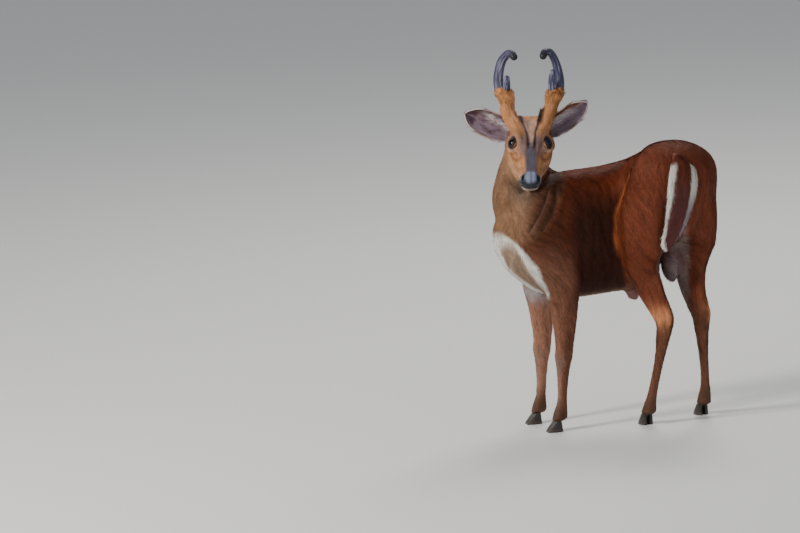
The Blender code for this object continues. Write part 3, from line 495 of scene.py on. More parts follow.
def cloud(points, size, seed=0):
    """Smooth noise from 0 to 1: random numbers on a lattice of this size, blended between."""
    scaled = points / size
    base = np.floor(scaled).astype(np.int64)
    share = scaled - base
    share = share * share * (3.0 - 2.0 * share)
    total = np.zeros(len(points))
    for corner in range(8):
        step = np.array((corner & 1, corner >> 1 & 1, corner >> 2 & 1))
        mixed = np.bitwise_xor.reduce((base + step) * SCATTER, axis=1) ^ (seed * SCATTER_SEED)
        mixed = (mixed ^ (mixed >> 13)) * SCATTER_END & 0xFFFFFF
        weight = np.where(step, share, 1 - share).prod(axis=1)
        total += weight * mixed / 0xFFFFFF
    return total


def streaks(points, ways, size, seed):
    """Noise drawn out along the hair: the mean of the cloud at steps up and down the lie."""
    steps = np.arange(-3, 4) * size * 1.1
    return np.mean([cloud(points + ways * step, size, seed) for step in steps], axis=0)


def mix(base, other, share):
    """From one set of colours or ways to another by a share for each point."""
    return base + (other - base) * np.asarray(share)[:, None]


def painted(colours, layers):
    """Mix tones over the colours one after another, each by a share for each point."""
    for tone, share in layers:
        colours = mix(colours, TONES[tone], np.clip(share, 0.0, 1.0))
    return colours


def oval(*ratios):
    """1 inside an oval and 0 outside, falling off like exp of minus the sixth power of the distance."""
    return np.exp(-sum(ratio ** 2 for ratio in ratios) ** 3)


def body_colours(points, normals):
    """Colours of trunk, neck and legs: tones laid over one another by soft masks of the place."""
    place = points - SHIFT
    x, _, z = place.T
    station, out, heading = spine_place(points)
    outward = np.sign(out) * (normals[:, 0] * np.sin(heading) + normals[:, 1] * np.cos(heading))
    facing = normals[:, 1] * np.sin(heading) - normals[:, 0] * np.cos(heading)
    reach, fore = np.abs(out), station > 0.2
    near_side, facing_viewer = soft(-out, 0.0, 0.03), soft(-normals[:, 1], 0.0, 0.4)
    # the flank, darkened partly by painted shade, ends at the front edge of the haunch, where a painted rim
    # of light runs
    front_x = np.interp(z, (0.348, 0.418, 0.477, 0.527, 0.56), (0.05, 0.028, 0.031, 0.053, 0.07))
    ahead_of = near_side * soft(front_x - x, -0.004, 0.008) + (1 - near_side) * soft(station, 0.075, 0.1)
    # painted rim light: a bright band along the front edge of the near haunch, fainter on the far one
    far_rim_light = np.exp(-((station - 0.062 + 0.25 * (z - 0.45)) / 0.01) ** 2) * soft(z, 0.34, 0.4)
    rim = near_side * bell(place - (0.006, 0.0, 0.0), HAUNCH_FRONT, 0.0085) + 0.5 * (1 - near_side) * far_rim_light
    # the neck is grey-brown with a darker nape, painted shade on its side towards the camera, and a pale
    # throat
    lower = np.interp(z, (0.43, 0.485, 0.514, 0.553, 0.62), (0.35, 0.299, 0.276, 0.258, 0.25))
    neck = soft(station - lower, -0.012, 0.012) * soft(z, 0.42, 0.44)
    neck_painted_shade = soft(x, -0.178, -0.138) * facing_viewer * soft(z, 0.6, 0.56)
    throat = np.exp(-(((x + 0.172) / 0.024) ** 2 + ((z - 0.545) / 0.03) ** 2))
    # the chest is white, with a brown wedge that high on the chest is partly painted shade, and runs into
    # the inner side of the forelegs
    upper = np.interp(z, (0.3, 0.321, 0.364, 0.403, 0.429, 0.45), (0.306, 0.313, 0.333, 0.352, 0.368, 0.39))
    chest = soft(station - upper, -0.004, 0.004) * soft(z, 0.456, 0.436) * soft(z, 0.3, 0.32)
    inner_fore = soft(-outward, -0.1, 0.4) * soft(z, 0.255, 0.275) * soft(z, 0.41, 0.37) * soft(
        station, 0.24, 0.27)
    wide = np.interp(z, (0.3, 0.321, 0.35, 0.382, 0.403, 0.425), (0.074, 0.079, 0.079, 0.075, 0.068, 0.056))
    wedge = soft(reach, 0.02, 0.029) * soft(reach - wide, 0.004, -0.006)
    scar = bell(place, ((0.094, -0.06, 0.446), (0.097, -0.06, 0.424)), 0.0075)
    # painted light on the shins, most on the far foreleg, and a painted highlight on the hocks; dark
    # pasterns, and grey between the thighs
    shin = 0.85 * soft(out, 0.0, 0.02) + 0.35 * soft(facing, 0.0, 0.8) * soft(-out, 0.0, 0.02)
    knee = np.exp(-((z - 0.158) / 0.012) ** 2) * fore
    thigh = (1 - fore) * soft(-outward, 0.4, 0.8) * soft(z, 0.235, 0.31) * soft(z, 0.53, 0.46)
    inside = soft(x, 0.194, 0.18)
    buttock = soft(z, 0.51, 0.47) * soft(z, 0.36, 0.4) * soft(-facing, -0.2, 0.3) * soft(out, -0.015, 0.0)
    return painted(np.tile(TONES["chestnut"], (len(points), 1)), (
        ("rump", soft(station, 0.07, -0.02)),
        ("back", soft(z, 0.5, 0.56) * soft(station, 0.05, 0.12)),
        # painted shade in part: the flank darkened between shoulder and haunch
        ("flank", 0.94 * ahead_of * soft(station, 0.275, 0.232) * soft(z, 0.565, 0.46)),
        ("shoulder", soft(station, 0.25, 0.29) * soft(z, 0.55, 0.47)),
        # painted light: the forelegs a little paler below the shoulder
        ("shin_pale", 0.34 * soft(station, 0.23, 0.27) * soft(z, 0.45, 0.36)),
        # painted rim light along the haunch's front edge
        ("haunch_rim_light", 0.8 * rim * soft(z, 0.6, 0.56) * soft(reach, 0.015, 0.035)),
        ("belly", soft(-normals[:, 2], 0.55, 0.95) * soft(z, 0.36, 0.3) * soft(z, 0.26, 0.28)
         * soft(reach, 0.06, 0.03)),
        ("neck", neck),
        ("nape", 0.9 * neck * soft(station - 0.35 * (0.53 - z), 0.352, 0.28)),
        # painted shade: the nape tone laid over the neck's camera-facing side, back from the throat
        ("nape", 0.7 * neck * neck_painted_shade),
        ("throat", 0.6 * throat * soft(-normals[:, 1], 0.0, 0.5)),
        ("white", chest),
        ("inner_fore", 0.9 * inner_fore),
        # the coat's brown wedge, and painted shade where it reaches up the chest
        ("chest_brown", 0.9 * wedge * chest * soft(z, 0.446, 0.41)),
        ("cheek", 0.55 * scar * near_side),
        ("shin", soft(z, 0.31, 0.24)),
        # painted light: the shins paler, most on the far foreleg
        ("shin_pale", fore * soft(z, 0.05, 0.1) * soft(z, 0.3, 0.26) * shin),
        # painted highlight on the outer side of each hock
        ("hock_highlight", 0.75 * np.exp(-((z - 0.256) / 0.022) ** 2) * (1 - fore) * soft(outward, -0.4, 0.3)),
        ("knee_grey", 0.55 * knee * soft(facing, -0.2, 0.6)),
        ("knee_grey", 0.45 * soft(facing, 0.3, 0.9) * soft(z, 0.2, 0.12) * fore),
        ("pastern", 0.85 * soft(z, 0.085, 0.035)),
        ("inner", 0.9 * thigh * inside * soft(station, 0.07, 0.03)),
        ("inner", 0.9 * buttock * inside * (1 - fore) * soft(station, 0.03, 0.0)),
        ("scrotum", oval((station + 0.01) / 0.034, out / 0.026, (z - 0.347) / 0.041)),
        ("sheath", 0.9 * oval((station - 0.097) / 0.022, out / 0.016, (z - 0.28) / 0.016))))


def pedicle_foot(seen):
    """1 on the dark tuft at the inner side of each pedicle's foot, fading round a line seen in front."""
    return bell(seen, ((0.0244, 0.056), (0.0225, 0.05), (0.019, 0.038)), 0.0056)


def nose_mask(points):
    """1 on the bare wet nose: the front of the muzzle, above the lip, round the nostrils."""
    along, out, above, _, _ = face_place(points)
    side = np.abs(out - 0.0005)
    return (soft(along - 0.12 * side + 0.5 * np.clip(above + 0.012, 0, 1), 0.0765, 0.0795)
            * soft(side + 0.9 * np.clip(0.086 - along, 0, 1), 0.0255, 0.0232) * soft(above, -0.039, -0.037))


def head_colours(points, normals):
    """Colours of the head and pedicles, laid by distance from lines on the face seen in front."""
    along, out, above, up, front = face_place(points)
    side = np.abs(out - 0.0017)
    seen, local = np.stack((side, up), axis=1), np.stack((along, side, above), axis=1)
    forward = normals @ FRONT
    facing = soft(forward, 0.1, 0.5)
    edge, bare = past_jaw(side, up), nose_mask(points)
    fold = bell(seen, ((0.042, -0.03), (0.037, -0.04), (0.03, -0.045), (0.023, -0.04)), 0.0042)
    low_fold = bell(seen, ((0.034, -0.056), (0.027, -0.066), (0.02, -0.064)), 0.0045)
    before = soft(front, -0.06, -0.045)
    half = 0.0065 + 0.28 * np.clip(up + 0.01, 0, 0.05)
    diamond = soft(side - half, 0.003, 0.0) * soft(up, -0.016, -0.004)
    crown = soft(side, 0.02, 0.012) * soft(up, 0.036, 0.05) * (up < 0.065)
    ragged = 0.003 * (streaks(points, NOSE + 0 * points, 0.004, 61) - 0.5)
    bridge = soft(side + ragged, 0.0165, 0.006 + 0.03 * np.clip(-up, 0, 0.1)) * soft(up, 0.008, -0.016)
    inner_eye = bell(seen, ((0.016, 0.0), (0.02, -0.018), (0.016, -0.03)), 0.0075)
    dark = bell(seen, ((0.0225, 0.06), (0.02, 0.044), (0.014, 0.028), (0.0095, 0.014),
                       (0.0078, 0.0), (0.0068, -0.016)), 0.0033)
    tone = painted(np.tile(TONES["temple"], (len(points), 1)), (
        ("cheek", soft(along, -0.01, 0.03)),
        ("jaw", 0.6 * np.exp(-((edge + 0.006) / 0.009) ** 2) * soft(-up, 0.03, 0.06)),
        # darker brown along the cheek folds, partly painted shade in the creases
        ("cheek_dark", 0.75 * fold),
        ("cheek_dark", 0.4 * low_fold),
        ("nape", soft(-front, 0.02, 0.06) * soft(up, -0.03, 0.02)),
        ("neck", soft(edge, -0.003, 0.003) * soft(up, -0.005, -0.03)),
        ("brow", soft(up, 0.006, 0.035) * soft(forward, -0.5, 0.2)),
        ("brow", soft(up, 0.04, 0.055)),
        ("forehead", diamond * before * soft(up, 0.052, 0.04)),
        ("crown", 0.8 * crown * before),
        ("bridge", bridge * facing),
        ("bridge", 0.75 * inner_eye * facing),
        ("line", 0.92 * dark * soft(forward, 0.0, 0.4)),
        ("line", 0.92 * pedicle_foot(seen) * soft(forward, -0.7, -0.2)),
        ("line", 0.7 * bell(local, TEAR_SLIT, 0.0022))))
    for sign in (1.0, -1.0):
        away, wide, tall = eye_place(points, sign)
        ring = np.hypot(wide, tall)
        close = np.linalg.norm(away, axis=1) < 0.03
        below = soft(-(away @ UP), 0.004, 0.012)
        tone = painted(tone, (
            ("eye_ring", 0.6 * close * soft(ring, 2.0, 1.45)),
            ("pale", (0.1 + 0.3 * below) * close * np.exp(-((ring - 1.8) / 0.2) ** 2)),
            ("lid", 0.95 * close * soft(ring, 1.5, 1.25))))
    # painted highlight on top of the bare nose, either side of the middle
    painted_highlight = 0.8 * soft(above, -0.023, -0.012) * np.exp(-((side - 0.0058) / 0.0066) ** 2)
    return painted(tone, (
        ("muzzle", 0.5 * soft(along, 0.074, 0.09) * soft(side, 0.014, 0.021)),
        ("muzzle", 0.7 * soft(-above, 0.039, 0.043) * soft(along, 0.045, 0.075)),
        ("white", 0.12 * soft(-above, 0.04, 0.044) * soft(along, 0.08, 0.095)),
        ("nose", bare),
        # painted highlight on the top of the nose and on the raised rims of the nostrils
        ("nose_highlight", 0.8 * bare * np.maximum(painted_highlight, bell(local, NOSTRIL_RIM, 0.0024))),
        # painted shade: the nostril hollows laid near black
        ("nostril", 1.3 * bell(local, NOSTRIL, 0.0042)),
        ("nose", 0.95 * bell(local, MOUTH, 0.0016))))


def coat_colours(points, normals):
    """The head's colours above the nape and the body's below, with a soft change between."""
    return mix(body_colours(points, normals), head_colours(points, normals), head_share(points, 0.0, 0.016))


# The plane between trunk and neck: a place on it and the way it faces.
NECK_CUT = (np.array((-0.155, 0.05, 0.5225)), np.array((-0.549, 0.0, 0.836)))


def lie(points, normals):
    """The way the hair lies, as unit vectors along the surface.

    Backwards and down on the trunk, down the legs and neck, up from the nose over the face,
    and up the pedicles."""
    x, _, z = (points - SHIFT).T
    station, out, _ = spine_place(points)
    heading = CHEST_HEADING + (RUMP_HEADING - CHEST_HEADING) * soft(x, -0.06, 0.14)
    steep = soft(np.abs(out), 0.015, 0.06) * (0.55 + 1.6 * soft(-x, -0.1, -0.01) * soft(-x, 0.12, 0.05))
    steep = steep + 2.0 * soft(station, -0.04, -0.11) + 3.0 * soft(z, 0.38, 0.27)
    steep = steep + 1.5 * bell(points - SHIFT, HAUNCH_FRONT, 0.035)
    way = np.stack((np.cos(heading), -np.sin(heading), -steep), axis=1)
    start, rise = NECK_CUT
    neck = soft((points - SHIFT - start) @ rise / np.linalg.norm(rise), -0.06, 0.02)
    way = mix(way, np.array((0.25, 0.2, -1.0)), neck * soft(0.02 - x, 0.1, 0.16))
    way = mix(way, np.array((0.1, 0.25, -1.0)), soft(station, 0.33, 0.38) * soft(z, 0.5, 0.46))
    _, side, above, up, _ = face_place(points)
    aside = np.sign(side)[:, None] * SIDE
    face = -NOSE + 0.45 * aside * soft(np.abs(side), 0.006, 0.03)[:, None]
    face = face - 0.9 * CROWN * soft(-above, 0.035, 0.07)[:, None]
    face = mix(face, UP + 0.25 * aside - 0.4 * FRONT, soft(up, 0.03, 0.055))
    return laid_flat(mix(way, face, head_share(points, 0.0, 0.02)), normals)


def store_colours(item, colours, name="coat"):
    """Keep a colour for each vertex in a named attribute."""
    full = np.ones((len(colours), 4), np.float32)
    full[:, :3] = colours
    item.data.color_attributes.new(name, "FLOAT_COLOR", "POINT").data.foreach_set("color", full.ravel())


def node(tree, kind, inputs=None, **settings):
    """Add a shader node, set what is named and feed its inputs."""
    made = tree.nodes.new(kind)
    for key, value in settings.items():
        setattr(made, key, value)
    feed(tree, inputs or {}, made.name)
    return made


def times_plus(tree, value, factor, more):
    """The output of a new node: a value times a factor, plus more."""
    return node(tree, "ShaderNodeMath", {0: value, 1: factor, 2: more}, operation="MULTIPLY_ADD").outputs[0]


def mottled_group():
    """Shader group: a colour broken up by soft patches and by fine grain, and the grain's height."""
    tree = bpy.data.node_groups.new("mottled_hair", "ShaderNodeTree")
    for name, way, kind in (
            ("Colour", "INPUT", "Color"), ("Patches", "INPUT", "Float"), ("Grain", "INPUT", "Float"),
            ("Colour", "OUTPUT", "Color"), ("Height", "OUTPUT", "Float")):
        tree.interface.new_socket(name, in_out=way, socket_type="NodeSocket" + kind)
    given = node(tree, "NodeGroupInput").outputs
    place = node(tree, "ShaderNodeTexCoord").outputs["Object"]
    value = given["Colour"]
    for amount, scale, detail in (("Patches", 34.0, 4.0), ("Grain", 900.0, 3.0)):
        noise = node(tree, "ShaderNodeTexNoise", {"Vector": place, "Scale": scale, "Detail": detail})
        centred = times_plus(tree, noise.outputs["Fac"], 2.0, -1.0)
        scaled = times_plus(tree, centred, given[amount], 1.0)
        value = node(tree, "ShaderNodeVectorMath", {0: value, "Scale": scaled}, operation="SCALE").outputs[0]
    node(tree, "NodeGroupOutput", {"Colour": value, "Height": noise.outputs["Fac"]})
    return tree


MOTTLED = mottled_group()


def hair_finish(name, patches, grain, rough, bump, shine=0.3):
    """A material for hide or hair: stored colours, broken up by the group, with a fine bump."""
    made, tree = new_finish(name)
    stored = node(tree, "ShaderNodeAttribute", attribute_name="coat").outputs["Color"]
    effect = node(tree, "ShaderNodeGroup", {"Colour": stored, "Patches": patches, "Grain": grain},
                  node_tree=MOTTLED).outputs
    relief = node(tree, "ShaderNodeBump", {"Height": effect["Height"], "Strength": bump, "Distance": 0.0012})
    feed(tree, {"Base Color": effect["Colour"], "Normal": relief.outputs["Normal"], "Roughness": rough,
                "Specular IOR Level": shine})
    return made


UNDER_HAIR = 0.8
skin_places, skin_normals = mesh_points(skin)
store_colours(skin, coat_colours(skin_places, skin_normals) * UNDER_HAIR)
bare = nose_mask(skin_places) * head_share(skin_places, 0.0, 0.01)
skin.data.attributes.new("wet", "FLOAT", "POINT").data.foreach_set("value", bare.astype(np.float32))
hide = hair_finish("hide", 0.22, 0.22, 0.62, 0.5)
wet = node(hide.node_tree, "ShaderNodeAttribute", attribute_name="wet")
feed(hide.node_tree, {"Roughness": times_plus(hide.node_tree, wet.outputs["Fac"], -0.36, 0.64)})
skin.data.materials.append(hide)
skin.data.polygons.foreach_set("use_smooth", np.ones(len(skin.data.polygons), bool))
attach(skin, "root")
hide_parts("torso", "neck", "head", "foreleg_left", "foreleg_right", "hindleg_left",
            "hindleg_right", "pedicle_left", "pedicle_right")

# The eyes. Glossy dark balls with a level oval pupil in a brown iris, and a wet rim of bare
# dark skin along the edge of both lids, which holds each ball in its socket.
EYE_RINGS, EYE_LANES, RIM_STEPS, RIM_SIZE = 40, 56, 72, 0.00115


def outward(item):
    """Turn a closed mesh's faces outwards."""
    return worked(item, lambda shape: bmesh.ops.recalc_face_normals(shape, faces=shape.faces))


def ringed(name, rings, ends=()):
    """Rings of points joined by quads: two end points cap them, or else the last ring meets the first."""
    count, lanes = rings.shape[:2]
    total = count * lanes
    start = np.arange(total - lanes if ends else total)
    after = start - start % lanes + (start + 1) % lanes
    faces = np.stack((start, after, (after + lanes) % total, (start + lanes) % total), axis=1).tolist()
    lane = np.arange(lanes)
    for place, ring in enumerate((0, total - lanes)[:len(ends)]):
        fan = (np.full(lanes, total + place), ring + lane, ring + (lane + 1) % lanes)
        faces += np.stack(fan, axis=1).tolist()
    return outward(mesh_piece(name, np.vstack((rings.reshape(-1, 3), *ends)), faces))


def tube_along(name, places, radii, lanes, flat, closed=False):
    """A round profile carried along a path; radii may be one row or a row across and a row up."""
    wide, tall = np.broadcast_to(radii, (2, len(places)))[..., None, None]
    tangent = unit(np.roll(places, -1, axis=0) - np.roll(places, 1, axis=0) if closed else
                   np.gradient(places, axis=0))
    lift = laid_flat(np.broadcast_to(flat, places.shape), tangent)
    turn = np.linspace(0, 2 * math.pi, lanes, endpoint=False)[:, None]
    rings = (places[:, None] + wide * np.cos(turn) * np.cross(tangent, lift)[:, None]
             + tall * np.sin(turn) * lift[:, None])
    return ringed(name, rings, () if closed else (places[0], places[-1]))


def eyeball(name, sign):
    """A ball whose pole looks out: the ring angle runs from the pole, the lane angle round it.

    The clear front swells a little where the iris is."""
    centre, way, long_way, short_way = eye_axes(sign)
    fall = np.linspace(0, math.pi, EYE_RINGS + 1)[1:-1, None, None]
    turn = np.linspace(0, 2 * math.pi, EYE_LANES, endpoint=False)[:, None]
    size = EYE_SIZE + 0.0005 * np.exp(-(fall / 0.55) ** 2)
    rings = size * (np.cos(fall) * way + np.sin(fall) * (np.cos(turn) * long_way + np.sin(turn) * short_way))
    made = ringed(name, centre + rings, (centre + way * size[0, 0], centre - way * EYE_SIZE))
    away = (mesh_points(made)[0] - centre) / EYE_SIZE
    wide, tall, depth = away @ long_way, away @ short_way, away @ way
    radius = np.hypot(wide, tall)
    iris = linear(26, 15, 11) * (1 + 0.25 * np.sin(np.arctan2(tall, wide) * 34))[:, None]
    tone = mix(iris, linear(16, 10, 8), soft(radius, 0.62, 0.8))
    tone = mix(tone, linear(34, 26, 24), np.clip(soft(radius, 0.9, 0.98) + (depth < 0), 0, 1))
    pupil = soft(np.hypot(wide / 0.5, tall / 0.36), 1.1, 0.9)
    store_colours(made, mix(tone, linear(6, 6, 9), pupil), "look")
    return made


eye_finish, tree = new_finish("eye_finish")
look = node(tree, "ShaderNodeAttribute", attribute_name="look")
feed(tree, {"Base Color": look.outputs["Color"], "Roughness": 0.06, "Coat Weight": 0.12,
            "Coat Roughness": 0.02, "Specular IOR Level": 0.25})
rim_finish, tree = new_finish("eye_rim_finish")
place = node(tree, "ShaderNodeTexCoord").outputs["Object"]
noise = node(tree, "ShaderNodeTexNoise", {"Vector": place, "Scale": 1400.0}).outputs["Fac"]
ramp = node(tree, "ShaderNodeValToRGB", {"Fac": noise})
for stop, tone in zip(ramp.color_ramp.elements, (linear(20, 16, 16), linear(48, 38, 36))):
    stop.color = (*tone, 1)
relief = node(tree, "ShaderNodeBump", {"Height": noise, "Strength": 0.3, "Distance": 0.0003})
feed(tree, {"Base Color": ramp.outputs["Color"], "Normal": relief.outputs["Normal"], "Roughness": 0.3})
for side, sign in (("left", 1.0), ("right", -1.0)):
    ball = eyeball("eyeball_" + side, sign)
    ball.data.materials.append(eye_finish)
    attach(ball, "root")
    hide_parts("eye_" + side)
    centre, way, long_way, short_way = eye_axes(sign)
    turn = np.linspace(0, 2 * math.pi, RIM_STEPS, endpoint=False)[:, None]
    wide = EYE_OPEN[0] * np.cos(turn)
    tall = EYE_OPEN[1] * np.sin(turn) / np.sqrt(1 + LID_TAPER * np.cos(turn) ** 2)
    forward = np.sqrt(np.maximum((EYE_SIZE + 0.0006) ** 2 - wide ** 2 - tall ** 2, 1e-6))
    rim = tube_along("eye_rim_" + side, centre + wide * long_way + tall * short_way + forward * way,
                     np.full(RIM_STEPS, RIM_SIZE), 8, way, closed=True)
    rim.data.materials.append(rim_finish)
    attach(rim, "root")

# The ears. Thin cupped leaves of gristle and skin, rooted behind the pedicles: short orange
# hair outside, bare grey-lilac skin inside with long white hairs and a pale rim.
EARS = {
    "right": ((0.048, 0.018, -0.052), (0.915, 0.4, 0.04), 0.104, 0.031, math.radians(12)),
    "left": ((0.046, 0.022, -0.052), (0.79, 0.615, 0.02), 0.102, 0.03, math.radians(36)),
}
EAR_STEPS, EAR_LANES, EAR_THICK = 56, 44, 0.0022


def ear_frame(side):
    """Root, way to the tip, way of the opening and way across it, length and half width."""
    root, way, length, half_width, turn = EARS[side]
    mirrored = np.stack((SIDE * (1.0 if side == "left" else -1.0), UP, FRONT))
    axis = unit(way @ mirrored)
    low = laid_flat(FRONT, axis)
    over = np.cross(axis, low)
    over *= -np.sign(over @ UP)
    opening = math.cos(turn) * low + math.sin(turn) * over
    return HEAD_ORIGIN + root @ mirrored, axis, opening, np.cross(axis, opening), length, half_width


def ear_wall(side, t, lane, inset):
    """A leaf: its width rises and closes to the tip along t, bent to an arc across by lane.

    lane runs from -1 to 1; inset draws the wall in. The inner wall has low folds and the rim
    waves a little."""
    start, axis, opening, spread, length, half_width = ear_frame(side)
    width = half_width * (0.42 + 0.58 * np.sin(math.pi * np.clip(t * 0.86 + 0.14, 0.01, 1.0)) ** 0.8)
    width = width * np.sqrt(np.maximum(0.0, 1.0 - np.maximum(0.0, (t - 0.7) / 0.303) ** 2.6))
    cup = half_width * (0.95 - 0.55 * t)
    arc = np.radians(150 - 75 * t)
    angle = lane * 0.5 * arc
    reach = np.maximum(width - inset, 0.0) / np.maximum(0.3, np.sin(arc / 2))
    depth = cup * (1 - np.cos(angle)) / (1 - np.cos(arc / 2)) + inset
    fold = 0.0007 * np.sin(lane * 9.0) * np.sin(math.pi * np.clip(t, 0, 1)) * (inset > 0.001)
    wave = 0.0011 * np.sin(t * 17.0 + lane) * soft(np.abs(lane), 0.7, 1.0)
    return (start + axis * ((length - inset) * t)[..., None] + spread * (reach * np.sin(angle))[..., None]
            + opening * (depth - cup + fold + wave)[..., None])


def inner_ear(side, t, high):
    """Colour inside an ear: lilac skin with dark blotches, and brown above the fold of the left ear."""
    drawn = np.stack((t * 0.045, high * 0.03, np.zeros(len(t))), axis=1)
    patch = soft(0.5 + 0.28 * high + 0.9 * (cloud(drawn, 0.006, 3) - 0.5) + 0.5 * (
        cloud(drawn, 0.0022, 4) - 0.5) - 0.25 * soft(-t, -0.3, 0.1) - 0.2 * (side == "left"), 0.2, 0.85)
    brown = soft(high, -0.1, 0.22) * soft(t, 0.95, 0.75) * (0.95 if side == "left" else 0.15)
    return mix(mix(linear(150, 128, 142), linear(92, 66, 76), patch), linear(140, 92, 64), brown)


def ear_leaf(name, side):
    """Outer and inner walls over the same leaf, joined along the rim."""
    t, lane = np.meshgrid(np.linspace(-0.17, 1, EAR_STEPS), np.linspace(-1, 1, EAR_LANES), indexing="ij")
    points = np.concatenate([ear_wall(side, t, lane, inset).reshape(-1, 3) for inset in (0.0004, EAR_THICK)])
    half = EAR_STEPS * EAR_LANES
    index = np.arange(half).reshape(EAR_STEPS, EAR_LANES)
    corners = (0, 1, EAR_LANES + 1, EAR_LANES)
    quads = np.stack([index[:-1, :-1].ravel() + corner for corner in corners], axis=1)
    rim = np.concatenate((index[0, :-1], index[:-1, -1], index[-1, :0:-1], index[:0:-1, 0]))
    after = np.roll(rim, -1)
    made = outward(mesh_piece(name, points, np.concatenate((
        quads, quads[:, (0, 3, 2, 1)] + half, np.stack((rim, rim + half, after + half, after), axis=1)))))
    t, lane = t.ravel(), lane.ravel()
    drawn = np.stack((t * 0.045, lane * 0.03, np.zeros(half)), axis=1)
    high = -lane if side == "left" else lane
    edge = soft(np.maximum(np.abs(lane), soft(t, 0.88, 1.0)), 0.9, 0.99)
    pale = soft(cloud(drawn, 0.0022, 5), 0.45, 0.75) * soft(t, 0.9, 0.45) * soft(-high, -0.6, 0.2)
    bare = mix(mix(inner_ear(side, t, high), linear(222, 212, 212), 0.3 * pale), linear(214, 200, 192), edge)
    coat = mix(linear(158, 104, 66), linear(112, 84, 74), soft(t, 0.2, 0.7))
    store_colours(made, np.concatenate((mix(coat, linear(206, 190, 178), 0.8 * edge), bare)))
    return made


ear_finish = hair_finish("ear_finish", 0.15, 0.25, 0.55, 0.4)
feed(ear_finish.node_tree, {"Subsurface Weight": 0.12, "Subsurface Radius": (0.006, 0.003, 0.002)})
for side in ("left", "right"):
    leaf = ear_leaf("ear_leaf_" + side, side)
    leaf.data.materials.append(ear_finish)
    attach(leaf, "root")
    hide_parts("ear_" + side)

# The antlers. Bony beams hooked inwards at the tip, each with a short brow tine at its foot,
# slate grey with pale lengthwise streaks and hooks darkened by painted shade, grown fast on the pedicles.
BEAMS = {
    "right": ((0.0635, 0.099, -0.067, 0.0118), (0.0665, 0.115, -0.071, 0.0118),
              (0.0685, 0.132, -0.074, 0.0114), (0.0665, 0.154, -0.074, 0.0108),
              (0.06, 0.176, -0.068, 0.01), (0.049, 0.189, -0.06, 0.0093),
              (0.04, 0.19, -0.049, 0.0086), (0.0345, 0.183, -0.042, 0.008)),
    "left": ((0.0625, 0.099, -0.067, 0.0115), (0.065, 0.117, -0.071, 0.011),
             (0.0655, 0.134, -0.075, 0.0102), (0.061, 0.158, -0.076, 0.01),
             (0.053, 0.181, -0.07, 0.009), (0.043, 0.194, -0.06, 0.0088),
             (0.033, 0.193, -0.049, 0.0086), (0.029, 0.185, -0.042, 0.008)),
}
TINES = {
    "right": ((0.052, 0.098, -0.057, 0.009), (0.051, 0.11, -0.054, 0.0088),
              (0.0505, 0.125, -0.047, 0.0083), (0.05, 0.137, -0.043, 0.006)),
    "left": ((0.051, 0.098, -0.057, 0.0094), (0.0495, 0.112, -0.054, 0.0094),
             (0.049, 0.132, -0.047, 0.009), (0.05, 0.15, -0.043, 0.0062)),
}
BEAM_LANES, BEAM_STEPS = 40, 14


def through(rows, per_span):
    """Smooth rows through the given rows by Catmull-Rom spans, worked out span by span."""
    rows = np.array(rows, float)
    ends = np.vstack((2 * rows[0] - rows[1], rows, 2 * rows[-1] - rows[-2]))
    before, start, stop, after = ends[:-3, None], ends[1:-2, None], ends[2:-1, None], ends[3:, None]
    t = (np.arange(per_span) / per_span)[None, :, None]
    spans = 0.5 * (2 * start + (stop - before) * t + (2 * before - 5 * start + 4 * stop - after) * t ** 2
                   + (3 * start - before - 3 * stop + after) * t ** 3)
    return np.vstack((spans.reshape(-1, rows.shape[1]), rows[-1:]))


def bony_beam(name, rows, sign, seed, shade_from):
    """A round profile carried along the beam's curve to a domed tip.

    Its radius waves with the angle and slowly along the length, so that shallow grooves run
    up it; the colours follow the same grooves."""
    rows = through(rows, BEAM_STEPS)
    dome = np.linspace(0.0, 1.0, 9)[1:]
    tip = np.repeat(rows[-1:], len(dome), axis=0)
    tip[:, :3] += unit(rows[-1, :3] - rows[-2, :3]) * (rows[-1, 3] * np.sin(dome * math.pi / 2))[:, None]
    tip[:, 3] = np.maximum(rows[-1, 3] * np.cos(dome * math.pi / 2), 0.0002)
    rows = np.vstack((rows, tip))
    places = HEAD_ORIGIN + rows[:, :3] @ np.stack((sign * SIDE, UP, FRONT))
    made = tube_along(name, places, rows[:, 3] * 0.985, BEAM_LANES, FRONT)
    count = len(rows) * BEAM_LANES
    turn = np.tile(np.linspace(0, 2 * math.pi, BEAM_LANES, endpoint=False), len(rows))
    run = np.repeat(np.linspace(0, 1, len(rows)), BEAM_LANES)
    around = np.stack((np.cos(turn) * 0.01, np.sin(turn) * 0.01, run * 0.016), axis=1)
    groove = cloud(around, 0.0035, seed) * 0.65 + cloud(around, 0.0016, seed + 1) * 0.35
    pearls = cloud(around * (1.0, 1.0, 4.0), 0.0022, seed + 5) * soft(run, 0.22, 0.02)
    swell = (groove - 0.5) * 0.13 + (pearls - 0.3) * 0.1 * soft(run, 0.2, 0.05)
    tapered = np.repeat(np.minimum(1.0, rows[:, 3] / rows[0, 3]), BEAM_LANES)
    points, _ = mesh_points(made)
    points[:count] += (points[:count] - np.repeat(places, BEAM_LANES, axis=0)) * (swell * tapered)[:, None]
    set_points(made, points)
    streak = soft(groove, 0.5, 0.8) * soft(run, shade_from, shade_from - 0.08)
    tone = mix(linear(70, 70, 98) * (0.35 + 1.0 * groove)[:, None], linear(178, 172, 196), 0.6 * streak)
    tone = mix(tone, linear(120, 114, 130), 0.35 * soft(run, 0.3, 0.1))
    # painted shade: the hooked end darkened towards the tip
    tone = mix(tone, linear(38, 34, 40), soft(run, shade_from - 0.06, shade_from + 0.1))
    store_colours(made, np.vstack((tone, tone[:1], tone[-1:])))
    return made


